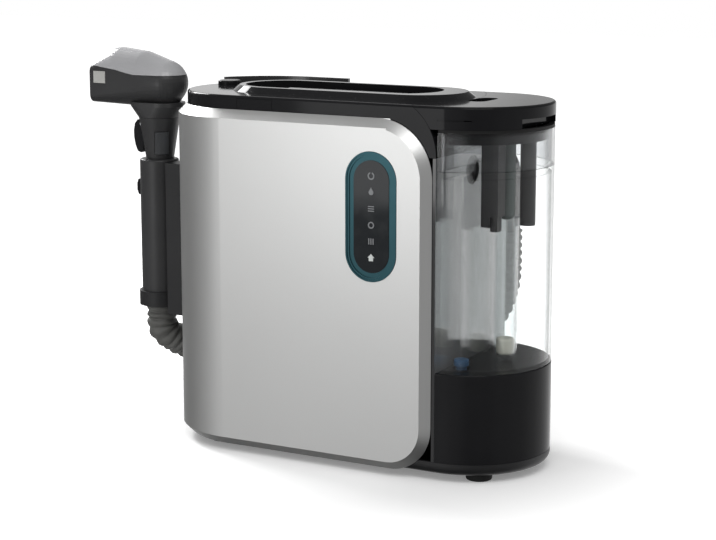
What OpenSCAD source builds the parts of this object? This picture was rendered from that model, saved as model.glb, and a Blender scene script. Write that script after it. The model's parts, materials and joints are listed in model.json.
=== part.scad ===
// Steam spot cleaner. A slim upright body with round ends, a clear waste tank that makes the right
// end, and a pistol shaped hand tool docked on the left end. Its ribbed hose runs round the back.
// The front faces -Y and the tank is at +X. All sizes are in millimetres.

/* [Body] */
// Length of the body, from the shell's round end to the tank's round end
body_len = 390; // [360:1:430]
// From the body's mid plane to the flat front face
shell_half = 86; // [80:1:96]
// How far the front shell stands proud of the body, which is also the width of its sloped border
shell_proud = 9; // [5:0.5:11]
// Height of the flat top above the floor
body_h = 350; // [320:1:380]
// Thickness of the top cover's edge, as seen from the side
top_edge_h = 13; // [11:0.5:16]
// Height of the feet
foot_h = 7; // [5:0.5:9]
// Wall of the front shell
shell_wall = 3; // [2:0.25:4]
// Wall of the black plastic covers
cover_wall = 3; // [2:0.25:4]
// Height of the base tray's edge
tray_h = 12; // [11:0.5:14]
// Radius of the shell's upper right corner
corner_top_r = 55; // [45:1:60]
// Radius of the shell's lower right corner
corner_low_r = 43; // [34:1:50]
// Half width of the plain strip on the left end that carries the dock
spine_half = 22; // [20:0.5:26]

/* [Control panel] */
// Width of the teal bezel
bezel_w = 53; // [48:0.5:58]
// Height of the teal bezel
bezel_h = 121; // [110:1:130]
// Width of the bezel's ring
bezel_ring = 8; // [6:0.5:9]
// Distance of the panel's centre from the body's middle
panel_x = 56; // [50:1:60]
// Height of the panel's centre above the floor
panel_z = 246; // [236:1:252]
// Number of icons
icon_count = 6; // [4:1:7]
// Step from one icon to the next
icon_step = 15.2; // [12:0.1:15.5]
// Size of an icon
icon_size = 7; // [5:0.5:8]

/* [Top] */
// Half width of the hand well
well_half = 42; // [38:0.5:46]
// Depth of the hand well below the flat top
well_deep = 44; // [38:1:50]
// Left end of the hand well
well_x0 = -128; // [-134:1:-122]
// Right end of the hand well
well_x1 = 86; // [78:1:88]
// Width of the grip bar
grip_w = 32; // [28:0.5:36]
// Thickness of the grip bar
grip_t = 15; // [12:0.5:18]
// How far the grip bar stands above the flat top
grip_rise = 2; // [0:0.5:5]
// Length of the grip bar
grip_len = 164; // [140:1:175]
// Height of the raised rim round the hand well, above the flat top
rim_h = 5.5; // [3:0.5:8]
// Width of the rim's flat top
rim_w = 3; // [2:0.5:6]
// Width of the rim's outer slope
rim_slope = 7; // [3:0.5:9]
// Diameter of the power button
button_d = 23; // [19:0.5:28]
// Height of the power button above the flat top
button_rise = 4.5; // [3.5:0.25:7]
// Travel of the power button
button_travel = 2.5; // [1.5:0.25:3.5]

/* [Tank] */
// Height of the plinth under the tank
plinth_top = 104; // [92:1:116]
// Height at which the smoked collar starts
collar_z = 291; // [280:1:300]
// Height of the tank lid, from its underside to the top of the body
lid_h = 21; // [19:0.5:25]
// Wall of the clear cup
cup_wall = 2.8; // [2:0.1:3.5]
// Outside diameter of the clear float guide
guide_d = 22; // [20:0.5:24]
// Wall of the float guide
guide_wall = 1.5; // [1.2:0.1:2]
// Length of the float
float_h = 16; // [12:0.5:20]
// Radial clearance of the float in its guide
float_gap = 0.8; // [0.5:0.1:1.2]

/* [Hand tool] */
// Distance of the hose axis from the body's left end
tool_out = 43; // [42:0.5:46]
// Distance of the mouth from the hose axis
head_reach = 69; // [62:1:80]
// Height of the grip's lower end above the floor
grip_z0 = 127; // [124:0.5:130]
// Height of the joint where the neck meets the grip
grip_z1 = 273; // [264:1:282]
// Wall of the tool's shells
tool_wall = 2.4; // [2:0.1:3]
// Half width of the mouth
mouth_half = 23; // [20:0.5:25]

/* [Hose] */
// Outside diameter over the ribs
hose_d = 32; // [30:0.5:33]
// Diameter between the ribs
hose_valley_d = 27.6; // [27:0.2:28.5]
// Bore of the hose
hose_bore_d = 24.6; // [23:0.2:25]
// Step from rib to rib
rib_step = 7.6; // [6.5:0.1:9]

/* [Hidden] */
$fn = 64;

// Clearance between neighbouring pieces that don't move on each other
seam = 0.3;
// Small overlap that makes a cut run right through
cut = 1;

// Body
core_r = shell_half - shell_proud;
left_x = -body_len / 2 + shell_half;
right_x = body_len / 2 - core_r;
panel_face = right_x - 3;
cover_z = body_h - top_edge_h;
tray_z = foot_h;
tray_top = tray_z + tray_h;
shell_z0 = foot_h;
shell_z1 = cover_z - seam;
shell_x1 = panel_face - seam;
shell_back = core_r + seam;
shell_slope = shell_proud - 0.8;
round_edge = 2.5;
foot_d = 25;
foot_x = [left_x - 25, right_x + 32];
foot_y = 46;
screw_d = 8;
black = "#1c1d1f";
dark = "#2a2b2d";

bezel_proud = 0.6;

// The seam between the tank lid and the body follows a round corner, seen from the front
seam_r = 55;
seam_x = right_x - seam_r;
seam_z = body_h - 47;
// and a wide bow, seen from above, that passes right of the grip bar
bow_r = 123;
bow_x = right_x - bow_r;

// Grip bar
grip_top = body_h + grip_rise;
grip_x1 = well_x1 - cover_wall - seam;
grip_x0 = grip_x1 - grip_len;
// Right end of the rim's outline, which is wider there
rim_x1 = right_x - 3;
grip_end_r = grip_w / 2 + 3;
button_flange_r = button_d / 2 + 2;
button_reach = core_r - cover_wall - 1 - button_flange_r;
button_turn = 20.5;
button_x = left_x - button_reach * cos(button_turn);
button_y = button_reach * sin(button_turn);
button_flange_z = body_h - cover_wall - seam - 2;
button_stem_z = body_h - 14;

// Tank
tank_r = core_r - 0.5;
lid_z = body_h - lid_h;
cup_x = right_x + 1.2;
cup_z1 = lid_z - 6;
collar_step = 3;
// The guide's bridge stands clear of the partition
partition_x = right_x + 21;
partition_w = 2;
guide_bridge = 3;
guide_gap = 0.5;
guide_x = partition_x + partition_w + guide_gap + (guide_d + guide_bridge) / 2;
guide_z1 = 240;
pocket_x = right_x + 10;
notch_in = 62;
lid_recess = 5;
lid_split = lid_z + 9;

// Hand tool. The grip is round and takes its size from the hose that passes into it.
tool_x = -body_len / 2 - tool_out;
mouth_x = tool_x - head_reach;
cuff_bore_d = hose_d + 0.8;
cuff_neck_d = cuff_bore_d + 1.8;
grip_r = cuff_neck_d / 2 + seam + tool_wall;
grip_x = tool_x - grip_r;
cuff_r = grip_r - 0.6;
cuff_z = grip_z0 - 3.4;
cuff_top = grip_z0 + 34;
head_r = 23.5;
// Axis, lower and upper radius of the neck, and the height at which the head takes over
neck_x = tool_x + 1;
neck_r0 = 14.2;
neck_r1 = 21;
neck_top = 315.4;
spigot_r = neck_r1 - 2.6;
spigot_h = 11;
trigger_z = 309;
pin_x = tool_x - 11;
pin_d = 4;
pin_half = 15;
// The release button looks to the front and to the body
release_turn = -48.5;
release_half = 7;
release_z0 = 278.5;
release_z1 = 301.5;
switch_z = 234;
switch_h = 17;
switch_travel = 4;
strip_w = 12;
strip_z0 = 142;
strip_z1 = 226;
jet_z = 360.2;
dock_half = spine_half - 2;
dock_face = tool_x + grip_r + 0.8;
cup_floor = cuff_z - seam;
cup_z = cup_floor - 2.3;
cup_top = cup_z + 15;
cup_wall_r = 2.6;

// Hose route, from inside the tool's cuff, round the rear left corner and up behind the tank
hose_y = 98;
route = [
    [-238, 0, 156], [-238, 0, 140], [-238, 0, 124], [-238, 0, 108], [-238, 0, 99], [-236, 2, 92], [-232, 8, 86],
    [-224, 20, 77], [-210, 39, 71], [-189, 62, 69], [-164, 82, 69], [-135, 94, 71], [-104, 98, 73],
    [-60, 98, 74], [-20, 98, 74], [24, 98, 80], [66, 98, 98], [96, 98, 128], [107, 98, 156],
    [109, 98, 178], [109, 98, 196], [109, 98, 212]
];
end_cuff_z0 = 212;
end_cuff_z1 = 266;
elbow_r = 26;
elbow_x = 109;
pipe_d = 27;
pipe_bore = 20;
socket_mouth = 28;
cradle_x = [-80, -14];
hose_gap = 0.5;
cradle_ring = 3.2;

// Whole object
x_min = mouth_x;
x_max = right_x + core_r;
y_min = -shell_half - bezel_proud;
y_max = hose_y + 22 + 0.2;
shift = [-(x_min + x_max) / 2, -(y_min + y_max) / 2, 0];

// Puts a piece from the body's own middle into the part's frame
module placed() {
    translate(shift) children();
}

// Half profile of a plate with rounded upper and lower edges, radius outwards and height upwards
module edge_profile(r, z0, z1, up, low) {
    translate([0, z0 + low]) square([r, z1 - z0 - up - low]);
    if (up > 0) {
        translate([0, z1 - up]) square([r - up, up]);
        intersection() {
            translate([r - up, z1 - up]) circle(up, $fn = 32);
            translate([r - up, z1 - up]) square(up);
        }
    }
    if (low > 0) {
        translate([0, z0]) square([r - low, low]);
        intersection() {
            translate([r - low, z0 + low]) circle(low, $fn = 32);
            translate([r - low, z0]) square(low);
        }
    }
}

// Carries a half profile once round a stadium whose axes are at x0 and x1
module stadium_solid(x0, x1) {
    translate([x0, 0, 0]) rotate_extrude(angle = 180, start = 90) children(0);
    translate([x1, 0, 0]) rotate_extrude(angle = 180, start = -90) children(0);
    translate([x0, 0, 0]) rotate([90, 0, 90]) linear_extrude(x1 - x0) {
        children(0);
        mirror([1, 0]) children(0);
    }
}

// Outline of a stadium that lies along X
module stadium_x(x0, x1, r) {
    translate([x0, 0]) circle(r);
    translate([x1, 0]) circle(r);
    translate([x0, -r]) square([x1 - x0, 2 * r]);
}

// Outline of an upright stadium round the origin
module stadium_up(w, h) {
    for (s = [-1, 1]) translate([0, s * (h - w) / 2]) circle(w / 2);
    translate([-w / 2, -(h - w) / 2]) square([w, h - w]);
}

// Turns an XZ outline into a plate between two Y positions
module plate_y(y0, y1) {
    translate([0, y1, 0]) rotate([90, 0, 0]) linear_extrude(y1 - y0) children();
}

// Outline with two round right corners, x0 to x1 and z0 to z1
module right_round(x0, x1, z0, z1, r_low, r_top) {
    translate([x0, z0 + r_low]) square([x1 - x0, z1 - z0 - r_low - r_top]);
    translate([x0, z0]) square([x1 - x0 - r_low, z1 - z0]);
    translate([x0, z1 - r_top]) square([x1 - x0 - r_top, r_top]);
    intersection() {
        translate([x1 - r_low, z0 + r_low]) circle(r_low, $fn = 96);
        translate([x1 - r_low, z0]) square(r_low);
    }
    intersection() {
        translate([x1 - r_top, z1 - r_top]) circle(r_top, $fn = 96);
        translate([x1 - r_top, z1 - r_top]) square(r_top);
    }
    if (r_top > r_low) translate([x0, z0]) square([x1 - x0 - r_low, z1 - z0 - r_top]);
}

// Front slab of the shell, with its sloped border. The wall is taken off all round for the hollow.
module slab(wall, back) {
    face = shell_half - wall;
    x1 = shell_x1 - wall;
    z0 = shell_z0 + wall;
    z1 = shell_z1 - wall;
    slope = shell_slope;
    rl = corner_low_r - wall;
    rt = corner_top_r - wall;
    plate_y(-face, -back) right_round(left_x, x1 - slope, z0 + slope, z1 - slope, rl - slope, rt - slope);
    plate_y(-(face - slope), -back) right_round(left_x, x1, z0, z1, rl, rt);
    // right slope
    translate([0, 0, z0 + rl]) linear_extrude(z1 - rt - z0 - rl)
        polygon([[x1 - slope - 1, -face], [x1 - slope, -face], [x1, -(face - slope)],
                 [x1 - slope - 1, -(face - slope)]]);
    // upper and lower slopes
    translate([left_x, 0, 0]) rotate([90, 0, 90]) linear_extrude(x1 - rt - left_x)
        polygon([[-face, z1 - slope - 1], [-face, z1 - slope], [-(face - slope), z1],
                 [-(face - slope), z1 - slope - 1]]);
    translate([left_x, 0, 0]) rotate([90, 0, 90]) linear_extrude(x1 - rl - left_x)
        polygon([[-face, z0 + slope + 1], [-face, z0 + slope], [-(face - slope), z0],
                 [-(face - slope), z0 + slope + 1]]);
    // round slopes at the two corners
    translate([x1 - rt, -(face - slope), z1 - rt]) rotate([90, 0, 0])
        rotate_extrude(angle = 90, $fn = 96) polygon([[0, 0], [rt, 0], [rt - slope, slope], [0, slope]]);
    translate([x1 - rl, -(face - slope), z0 + rl]) rotate([90, 0, 0])
        rotate_extrude(angle = 90, start = -90, $fn = 96)
            polygon([[0, 0], [rl, 0], [rl - slope, slope], [0, slope]]);
}

// Round left end of the shell
module shell_end(wall, inner) {
    face = shell_half - wall;
    z0 = shell_z0 + wall;
    z1 = shell_z1 - wall;
    translate([left_x, 0, 0]) rotate_extrude(angle = 90, start = 180, $fn = 128)
        polygon([[inner, z0], [face - shell_slope, z0], [face, z0 + shell_slope],
                 [face, z1 - shell_slope], [face - shell_slope, z1], [inner, z1]]);
}

module front_shell() {
    edge_x = left_x - sqrt(pow(shell_half, 2) - pow(spine_half, 2));
    color("#c3c5c6") difference() {
        union() {
            slab(0, shell_back);
            shell_end(0, shell_back);
        }
        slab(shell_wall, shell_back - 4);
        shell_end(shell_wall, shell_back - 4);
        // the spine of the rear cover takes the rest of the round end
        translate([edge_x - shell_half, -spine_half, 0]) cube([2 * shell_half, shell_half, body_h]);
        // sloped border along the shell's rear edge
        translate([edge_x, -spine_half - shell_slope, -cut]) rotate([0, 0, 45])
            translate([-shell_half, 0, 0]) cube([shell_half, 2 * shell_slope, body_h]);
        // opening for the control panel
        translate([panel_x, 0, panel_z]) plate_y(-shell_half - cut, -core_r)
            stadium_up(bezel_w + 2 * seam, bezel_h + 2 * seam);
    }
}

module base_tray() {
    color(black) difference() {
        stadium_solid(left_x, right_x) edge_profile(core_r, tray_z, tray_top, 0, 9);
        stadium_solid(left_x, right_x) edge_profile(core_r - cover_wall, tray_z + cover_wall, tray_top + cut, 0, 7);
        for (x = foot_x, s = [-1, 1]) translate([x, s * foot_y, 0]) cylinder(d = 10, h = tray_top);
    }
}

module feet() {
    color("#141414") for (x = foot_x, s = [-1, 1]) translate([x, s * foot_y, 0]) {
        rotate_extrude() edge_profile(foot_d / 2, 0, tray_z, 0, 2);
        cylinder(d = 9.6, h = tray_z + cover_wall + 4);
    }
}

// Rear cover: from the spine on the left end, round the back, to the side panel. Its upper right
// corner has the same round as the shell.
module rear_cover() {
    r_in = core_r - cover_wall;
    z0 = tray_top + seam;
    z1 = cover_z - seam;
    spine = asin(dock_half / core_r);
    color(dark) difference() {
        union() {
            translate([left_x, 0, z0]) rotate_extrude(angle = 90 + spine, start = 90, $fn = 128)
                translate([r_in, 0]) square([cover_wall, z1 - z0]);
            plate_y(r_in, core_r) intersection() {
                right_round(left_x, shell_x1, shell_z0, shell_z1, corner_low_r, corner_top_r);
                translate([left_x, z0]) square([shell_x1 - left_x, z1 - z0]);
            }
            for (p = screw_at) translate([p[0], r_in - 12, p[1]]) rotate([-90, 0, 0]) cylinder(d = 10, h = 13);
        }
        for (z = dock_bolt_z) translate([left_x - core_r - cut, 0, z]) rotate([0, 90, 0])
            cylinder(d = bolt_d + 0.4, h = 12);
        translate([grille_x, core_r - 10, grille_z]) cube([grille_w, 20, grille_h]);
        for (p = screw_at) translate([p[0], r_in - 13, p[1]]) rotate([-90, 0, 0]) {
            cylinder(d = bolt_d, h = 30);
            translate([0, 0, 13]) cylinder(d = screw_d + 0.6, h = 20);
        }
        translate([inlet_x, core_r - 10, inlet_z]) rotate([-90, 0, 0]) cylinder(d = 14.4, h = 20);
        translate([socket_x, core_r - 10, socket_z]) rotate([-90, 0, 0]) cylinder(d = socket_pin_d + 0.6, h = 20);
    }
}
dock_bolt_z = [150, 240];
// The upper screws keep their place under the top
screw_top = cover_z - 19;
screw_at = [[left_x + 8, 40], [left_x + 8, screw_top - 28], [0, 40], [0, screw_top], [54, 40],
    [panel_face - 14, 196]];
bolt_d = 4.4;
socket_pin_d = 29;
grille_x = -74;
grille_z = 150;
grille_w = 108;
grille_h = 104;
inlet_x = -62;
inlet_z = 40;
socket_x = 44;
socket_z = end_cuff_z1 + elbow_r;

// Wall between the body and the tank, with the port for the suction air
module side_panel() {
    z0 = tray_top + seam;
    color(black) difference() {
        translate([panel_face, -core_r, z0]) cube([right_x - panel_face, 2 * core_r, seam_z - seam - z0]);
        translate([panel_face - cut, 0, port_z]) rotate([0, 90, 0]) cylinder(d = 28, h = 10);
    }
}
port_z = 284;

// Base under the tank. It holds the pump.
module tank_plinth() {
    x0 = right_x + seam;
    z0 = tray_top + seam;
    color(black) difference() {
        intersection() {
            translate([right_x, 0, 0]) rotate_extrude($fn = 128) edge_profile(core_r, z0, plinth_top, 1.5, 0);
            translate([x0, -core_r - cut, z0 - cut]) cube([core_r + 5, 2 * core_r + 2, plinth_top]);
        }
        intersection() {
            translate([right_x, 0, z0 - cut]) cylinder(r = core_r - cover_wall, h = plinth_top - z0 - 4 + cut, $fn = 128);
            translate([x0 + cover_wall, -core_r, z0 - 2 * cut]) cube([core_r, 2 * core_r, plinth_top]);
        }
        // socket for the tank's outlet valve
        translate([valve_x, valve_y, plinth_top - 10]) cylinder(d = 18, h = 20);
    }
}
valve_x = right_x + 12.5;
valve_y = -46;

// Outline of the trim that follows the shell's big corner, seen from the front
module shoulder_outline(in) {
    difference() {
        intersection() {
            union() {
                translate([seam_x, seam_z]) circle(seam_r - in, $fn = 128);
                translate([seam_x - 30, seam_z - 30]) square([seam_r + 30 - in, 30]);
                translate([seam_x - 30, seam_z]) square([30, body_h - seam_z - in]);
            }
            translate([seam_x - 30, seam_z + in]) square([seam_r + 40, body_h - seam_z - 2 * in]);
        }
        translate([shell_x1 - corner_top_r, shell_z1 - corner_top_r]) circle(corner_top_r + 2 * seam + in, $fn = 128);
        translate([seam_x - 40, seam_z - 40]) square([40 + shell_x1 - corner_top_r - seam_x, cover_z + in - seam_z + 40]);
    }
}

// Plan of the top plate: the body's stadium, cut by the bow
module top_plan(r, in) {
    intersection() {
        stadium_x(left_x, right_x, r);
        union() {
            translate([bow_x, 0]) circle(bow_r - in, $fn = 192);
            translate([left_x - 100, -100]) square([100 - left_x, 200]);
        }
    }
}

module top_cover() {
    color("#18191b") difference() {
        union() {
            // plate with a rounded upper edge, bowed at the right
            intersection() {
                stadium_solid(left_x, right_x) edge_profile(core_r, cover_z, body_h, round_edge, 0);
                translate([0, 0, cover_z - cut]) linear_extrude(top_edge_h + 2 * cut) top_plan(core_r + 1, 0);
            }
            // trim that follows the shell's corner
            intersection() {
                plate_y(-core_r, core_r) shoulder_outline(0);
                translate([seam_x - 20, 0, 0]) rotate([90, 0, 90]) linear_extrude(seam_r + 30) {
                    edge_profile(core_r, seam_z - 20, body_h, round_edge, 0);
                    mirror([1, 0]) edge_profile(core_r, seam_z - 20, body_h, round_edge, 0);
                }
            }
            // walls of the hand well
            translate([0, 0, body_h - well_deep]) linear_extrude(well_deep - cover_wall)
                stadium_x(well_x0 + well_half, well_x1 - well_half, well_half);
            // raised rim with a sloped outside
            stadium_solid(well_x0 + well_half, rim_x1 - well_half - rim_w - rim_slope) polygon([[0, body_h - 1],
                [well_half + rim_w + rim_slope, body_h - 1], [well_half + rim_w + rim_slope, body_h],
                [well_half + rim_w, body_h + rim_h], [0, body_h + rim_h]]);
        }
        // hollow under the plate, outside the hand well
        difference() {
            translate([0, 0, cover_z - cut]) linear_extrude(top_edge_h - cover_wall + cut)
                top_plan(core_r - cover_wall, cover_wall);
            translate([0, 0, 0]) linear_extrude(body_h)
                stadium_x(well_x0 + well_half, well_x1 - well_half, well_half);
        }
        // hollow of the trim
        plate_y(-core_r + cover_wall, core_r - cover_wall) difference() {
            shoulder_outline(cover_wall);
            translate([-200, cover_z]) square([400, 100]);
        }
        plate_y(-core_r + cover_wall, core_r - cover_wall)
            translate([panel_face - 8, seam_z - cut]) square([8, 6]);
        // the hand well
        translate([0, 0, body_h - well_deep + cover_wall]) linear_extrude(well_deep + rim_h)
            stadium_x(well_x0 + well_half, well_x1 - well_half, well_half - cover_wall);
        // bore of the power button
        translate([button_x, button_y, cover_z - cut]) cylinder(d = button_d + 0.8, h = top_edge_h + 2 * cut);
        // notch for the skirt insert
        translate([insert_x, -core_r - cut, cover_z - cut]) cube([insert_w, cover_wall - 1 + cut, top_edge_h - round_edge + cut]);
        // screw seats of the grip bar
        for (x = grip_bolts) translate([x, 0, body_h - well_deep - cut]) cylinder(d = 5, h = well_deep + 10);
    }
}
insert_x = -94;
insert_w = 39;
grip_bolts = [grip_x0 + 14, grip_x1 - 14];

module skirt_insert() {
    color("#202123") translate([insert_x + seam, -core_r, cover_z])
        cube([insert_w - 2 * seam, cover_wall - 1 - seam, top_edge_h - round_edge - seam]);
}

// Section of the grip bar: flat underneath, crowned on top
module grip_section(in) {
    crown = 44;
    intersection() {
        translate([0, grip_top - in - crown]) circle(crown, $fn = 96);
        union() {
            translate([-grip_w / 2 + in, grip_top - grip_t + 5 + in]) square([grip_w - 2 * in, grip_t + 5]);
            translate([-grip_w / 2 + 5 + in, grip_top - grip_t + in]) square([grip_w - 10 - 2 * in, 10]);
            for (s = [-1, 1]) translate([s * (grip_w / 2 - 5 - in), grip_top - grip_t + 5 + in])
                circle(5, $fn = 32);
        }
    }
}

// Bar over the hand well, with a foot at each end
module carry_handle() {
    color("#1b1c1e") difference() {
        union() {
            intersection() {
                translate([grip_x0, 0, 0]) rotate([90, 0, 90]) linear_extrude(grip_x1 - grip_x0) grip_section(0);
                translate([0, 0, grip_top - grip_t - 20]) linear_extrude(grip_t + 30)
                    stadium_x(grip_x0 + grip_end_r, grip_x1 - grip_end_r, grip_end_r);
            }
            // the feet stand on the floor of the well
            for (x = [grip_x0 + 12, grip_x1 - 20]) translate([0, 0, body_h - well_deep + cover_wall])
                linear_extrude(well_deep - 12) stadium_x(x, x + 8, 11);
        }
        for (x = grip_bolts) translate([x, 0, 0]) cylinder(d = 4, h = grip_top - 6);
    }
}

module power_button() {
    color("#101112") translate([button_x, button_y, 0]) {
        rotate_extrude() edge_profile(button_d / 2, button_flange_z, body_h + button_rise, 1.6, 0);
        translate([0, 0, button_flange_z]) cylinder(r = button_flange_r, h = 2);
        translate([0, 0, button_stem_z]) cylinder(d = 6, h = 10);
    }
}

// Switch under the power button, on a bridge that hangs from the top cover
module power_switch() {
    top = button_stem_z - button_travel - seam;
    reach = core_r * 0.55;
    color("#3a3d40") {
        translate([button_x - 9, button_y - 9, top - 18]) cube([18, 18, 18]);
        translate([button_x - 3, -reach, top - 18]) cube([6, 2 * reach, 4]);
        for (s = [-1, 1]) translate([button_x - 3, s * (reach - 2) - 2, top - 18])
            cube([6, 4, body_h - cover_wall - top + 18]);
    }
}

module control_bezel() {
    w = bezel_w;
    h = bezel_h;
    glass_w = w - 2 * bezel_ring;
    glass_h = h - 2 * bezel_ring;
    color("#2b5560") translate([panel_x, 0, panel_z]) difference() {
        union() {
            plate_y(-shell_half - bezel_proud, -shell_half + 5) stadium_up(w, h);
            plate_y(-shell_half + shell_wall + seam, -shell_half + 5) stadium_up(w + 6, h + 6);
        }
        plate_y(-shell_half - 2, -shell_half + 8) stadium_up(glass_w, glass_h);
        // hollow front, sunk towards the glass
        plate_y(-shell_half - 2, -shell_half + 0.4) stadium_up(w - 3, h - 3);
        plate_y(-shell_half - 2, -shell_half + 1.4) stadium_up(w - 7, h - 7);
    }
}

module control_glass() {
    color("#0c0e10") translate([panel_x, 0, panel_z]) {
        plate_y(-shell_half + 0.9, -shell_half + 4) stadium_up(bezel_w - 2 * bezel_ring - 0.2, bezel_h - 2 * bezel_ring - 0.2);
        plate_y(-shell_half + 5, -shell_half + 7) stadium_up(bezel_w - 10, bezel_h - 10);
        plate_y(-shell_half + 4, -shell_half + 5) stadium_up(bezel_w - 2 * bezel_ring - 0.2, bezel_h - 2 * bezel_ring - 0.2);
    }
}

// One icon, drawn round the origin: rings, drops and waves of a plain kind
module icon(i) {
    s = icon_size;
    kind = i % 6;
    if (kind == 0) difference() {
        circle(d = s);
        circle(d = s * 0.66);
        translate([-s * 0.12, 0]) square([s * 0.24, s]);
    }
    if (kind == 1) {
        circle(d = s * 0.7);
        translate([0, s * 0.08]) polygon([[-s * 0.33, 0], [s * 0.33, 0], [0, s * 0.6]]);
    }
    if (kind == 2) for (k = [-1, 0, 1]) translate([-s * 0.45, k * s * 0.3 - s * 0.06]) square([s * 0.9, s * 0.12]);
    if (kind == 3) difference() {
        circle(d = s * 0.9);
        circle(d = s * 0.6);
    }
    if (kind == 4) for (k = [-1, 0, 1]) translate([k * s * 0.32 - s * 0.07, -s * 0.4]) square([s * 0.14, s * 0.8]);
    if (kind == 5) {
        polygon([[-s * 0.5, 0], [s * 0.5, 0], [0, s * 0.5]]);
        translate([-s * 0.32, -s * 0.45]) square([s * 0.64, s * 0.46]);
    }
}

module control_icons() {
    color("#e8eef0") for (i = [0 : icon_count - 1])
        translate([panel_x, 0, panel_z + ((icon_count - 1) / 2 - i) * icon_step])
            plate_y(-shell_half + 0.5, -shell_half + 0.9) icon(i);
}

module control_board() {
    y0 = -shell_half + 7.2;
    color("#2f6b45") {
        translate([panel_x - bezel_w / 2, y0 + 3, panel_z - bezel_h / 2 + 8]) cube([bezel_w, 1.6, bezel_h - 16]);
        // light pipes to the icons
        for (i = [0 : icon_count - 1])
            translate([panel_x, y0 + 3.2, panel_z + ((icon_count - 1) / 2 - i) * icon_step]) rotate([90, 0, 0])
                cylinder(d = 6, h = 3.2);
        translate([panel_x - 12, y0 + 4.4, panel_z - 20]) cube([24, 5, 30]);
    }
}

// Suction motor: a casing with cooling windows, on a stand from the base tray
motor_x = -40;
shaft_d = 8;
shaft_fit = 0.08;
motor_d = 92;
motor_z0 = 40;
motor_z1 = 128;
volute_d = 124;
volute_h = 34;
module motor_casing() {
    color("#55585c") difference() {
        union() {
            translate([motor_x, 0, motor_z0]) cylinder(d = motor_d, h = motor_z1 - motor_z0);
            // stand
            translate([motor_x, 0, tray_z + cover_wall]) cylinder(d = 60, h = motor_z0 - tray_z - cover_wall + cut);
            translate([motor_x, 0, tray_z + cover_wall]) cylinder(d = 110, h = 5);
        }
        difference() {
            translate([motor_x, 0, motor_z0 + 6]) cylinder(d = motor_d - 8, h = motor_z1 - motor_z0);
            // lower bearing
            translate([motor_x, 0, motor_z0]) cylinder(d = 20, h = 14);
        }
        translate([motor_x, 0, motor_z0 + 6]) cylinder(d = shaft_d + 2 * shaft_fit, h = 20);
        for (a = [0 : 45 : 315]) translate([motor_x, 0, motor_z0 + 20]) rotate([0, 0, a])
            translate([motor_d / 2 - 8, -7, 0]) cube([12, 14, 40]);
    }
    // wound core
    color("#8a5a35") translate([motor_x, 0, motor_z0 + 6.1]) difference() {
        cylinder(d = motor_d - 10, h = 66);
        translate([0, 0, -cut]) cylinder(d = 42, h = 70);
    }
}

fan_z = motor_z1 + 8;
fan_d = 104;
blade_count = 9;
blade_r = 26;
hub_d = 30;
// Rotor: shaft, armature, disc and swept blades
module fan_rotor() {
    color("#c9ccd0") translate([motor_x, 0, 0]) {
        translate([0, 0, motor_z0 + 6 + seam]) cylinder(d = shaft_d, h = fan_z - motor_z0 - 6);
        translate([0, 0, motor_z0 + 16]) cylinder(d = 38, h = 50);
        translate([0, 0, fan_z]) cylinder(d = fan_d, h = 2);
        translate([0, 0, fan_z]) cylinder(d = hub_d, h = 16);
        for (k = [0 : blade_count - 1]) rotate([0, 0, k * 360 / blade_count]) translate([blade_r, 0, fan_z + 1])
            rotate_extrude(angle = 130, start = 20) translate([blade_r - 1.6, 0]) square([1.6, 14]);
    }
}

// Volute round the fan, with the inlet on top and the outlet to the exhaust grille
module fan_volute() {
    z0 = motor_z1 + 0.2;
    color("#3d4044") difference() {
        union() {
            translate([motor_x, 0, z0]) cylinder(d = volute_d, h = volute_h);
            translate([motor_x, 0, z0]) cylinder(d = 44, h = volute_h + 12);
            translate([motor_x - 40, 20, z0]) cube([70, core_r - cover_wall - 1 - 20, volute_h]);
        }
        difference() {
            translate([motor_x, 0, z0 + 3]) cylinder(d = volute_d - 6, h = volute_h - 6);
            // upper bearing
            translate([motor_x, 0, z0]) cylinder(d = 18, h = 5.5);
        }
        translate([motor_x, 0, z0 - cut]) cylinder(d = shaft_d + 2 * shaft_fit, h = 10);
        translate([motor_x, 0, z0 + 10]) cylinder(d = 36, h = volute_h + 20);
        translate([motor_x - 37, 20, z0 + 3]) cube([64, core_r, volute_h - 6]);
    }
}

// Duct from the volute's inlet up and across to the tank's air port
duct_z0 = motor_z1 + volute_h + 12.5;
duct_r = 22;
module suction_duct() {
    bend = 34;
    top = port_z;
    color("#4a4d52") difference() {
        union() {
            translate([motor_x, 0, duct_z0]) cylinder(r = duct_r, h = top - bend - duct_z0);
            translate([motor_x + bend, 0, top - bend]) rotate([90, 0, 0])
                rotate_extrude(angle = 90, start = 90) translate([bend, 0]) circle(duct_r - 6);
            translate([motor_x + bend, 0, top]) rotate([0, 90, 0])
                cylinder(r = duct_r - 6, h = panel_face - seam - motor_x - bend);
        }
        translate([motor_x, 0, duct_z0 - cut]) cylinder(r = duct_r - 2.5, h = 30);
        translate([motor_x, 0, duct_z0]) cylinder(r = duct_r - 8.5, h = top - bend - duct_z0);
        translate([motor_x + bend, 0, top - bend]) rotate([90, 0, 0])
            rotate_extrude(angle = 90, start = 90) translate([bend, 0]) circle(duct_r - 8.5);
        translate([motor_x + bend, 0, top]) rotate([0, 90, 0]) cylinder(r = duct_r - 8.5, h = 300);
    }
}

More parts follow.
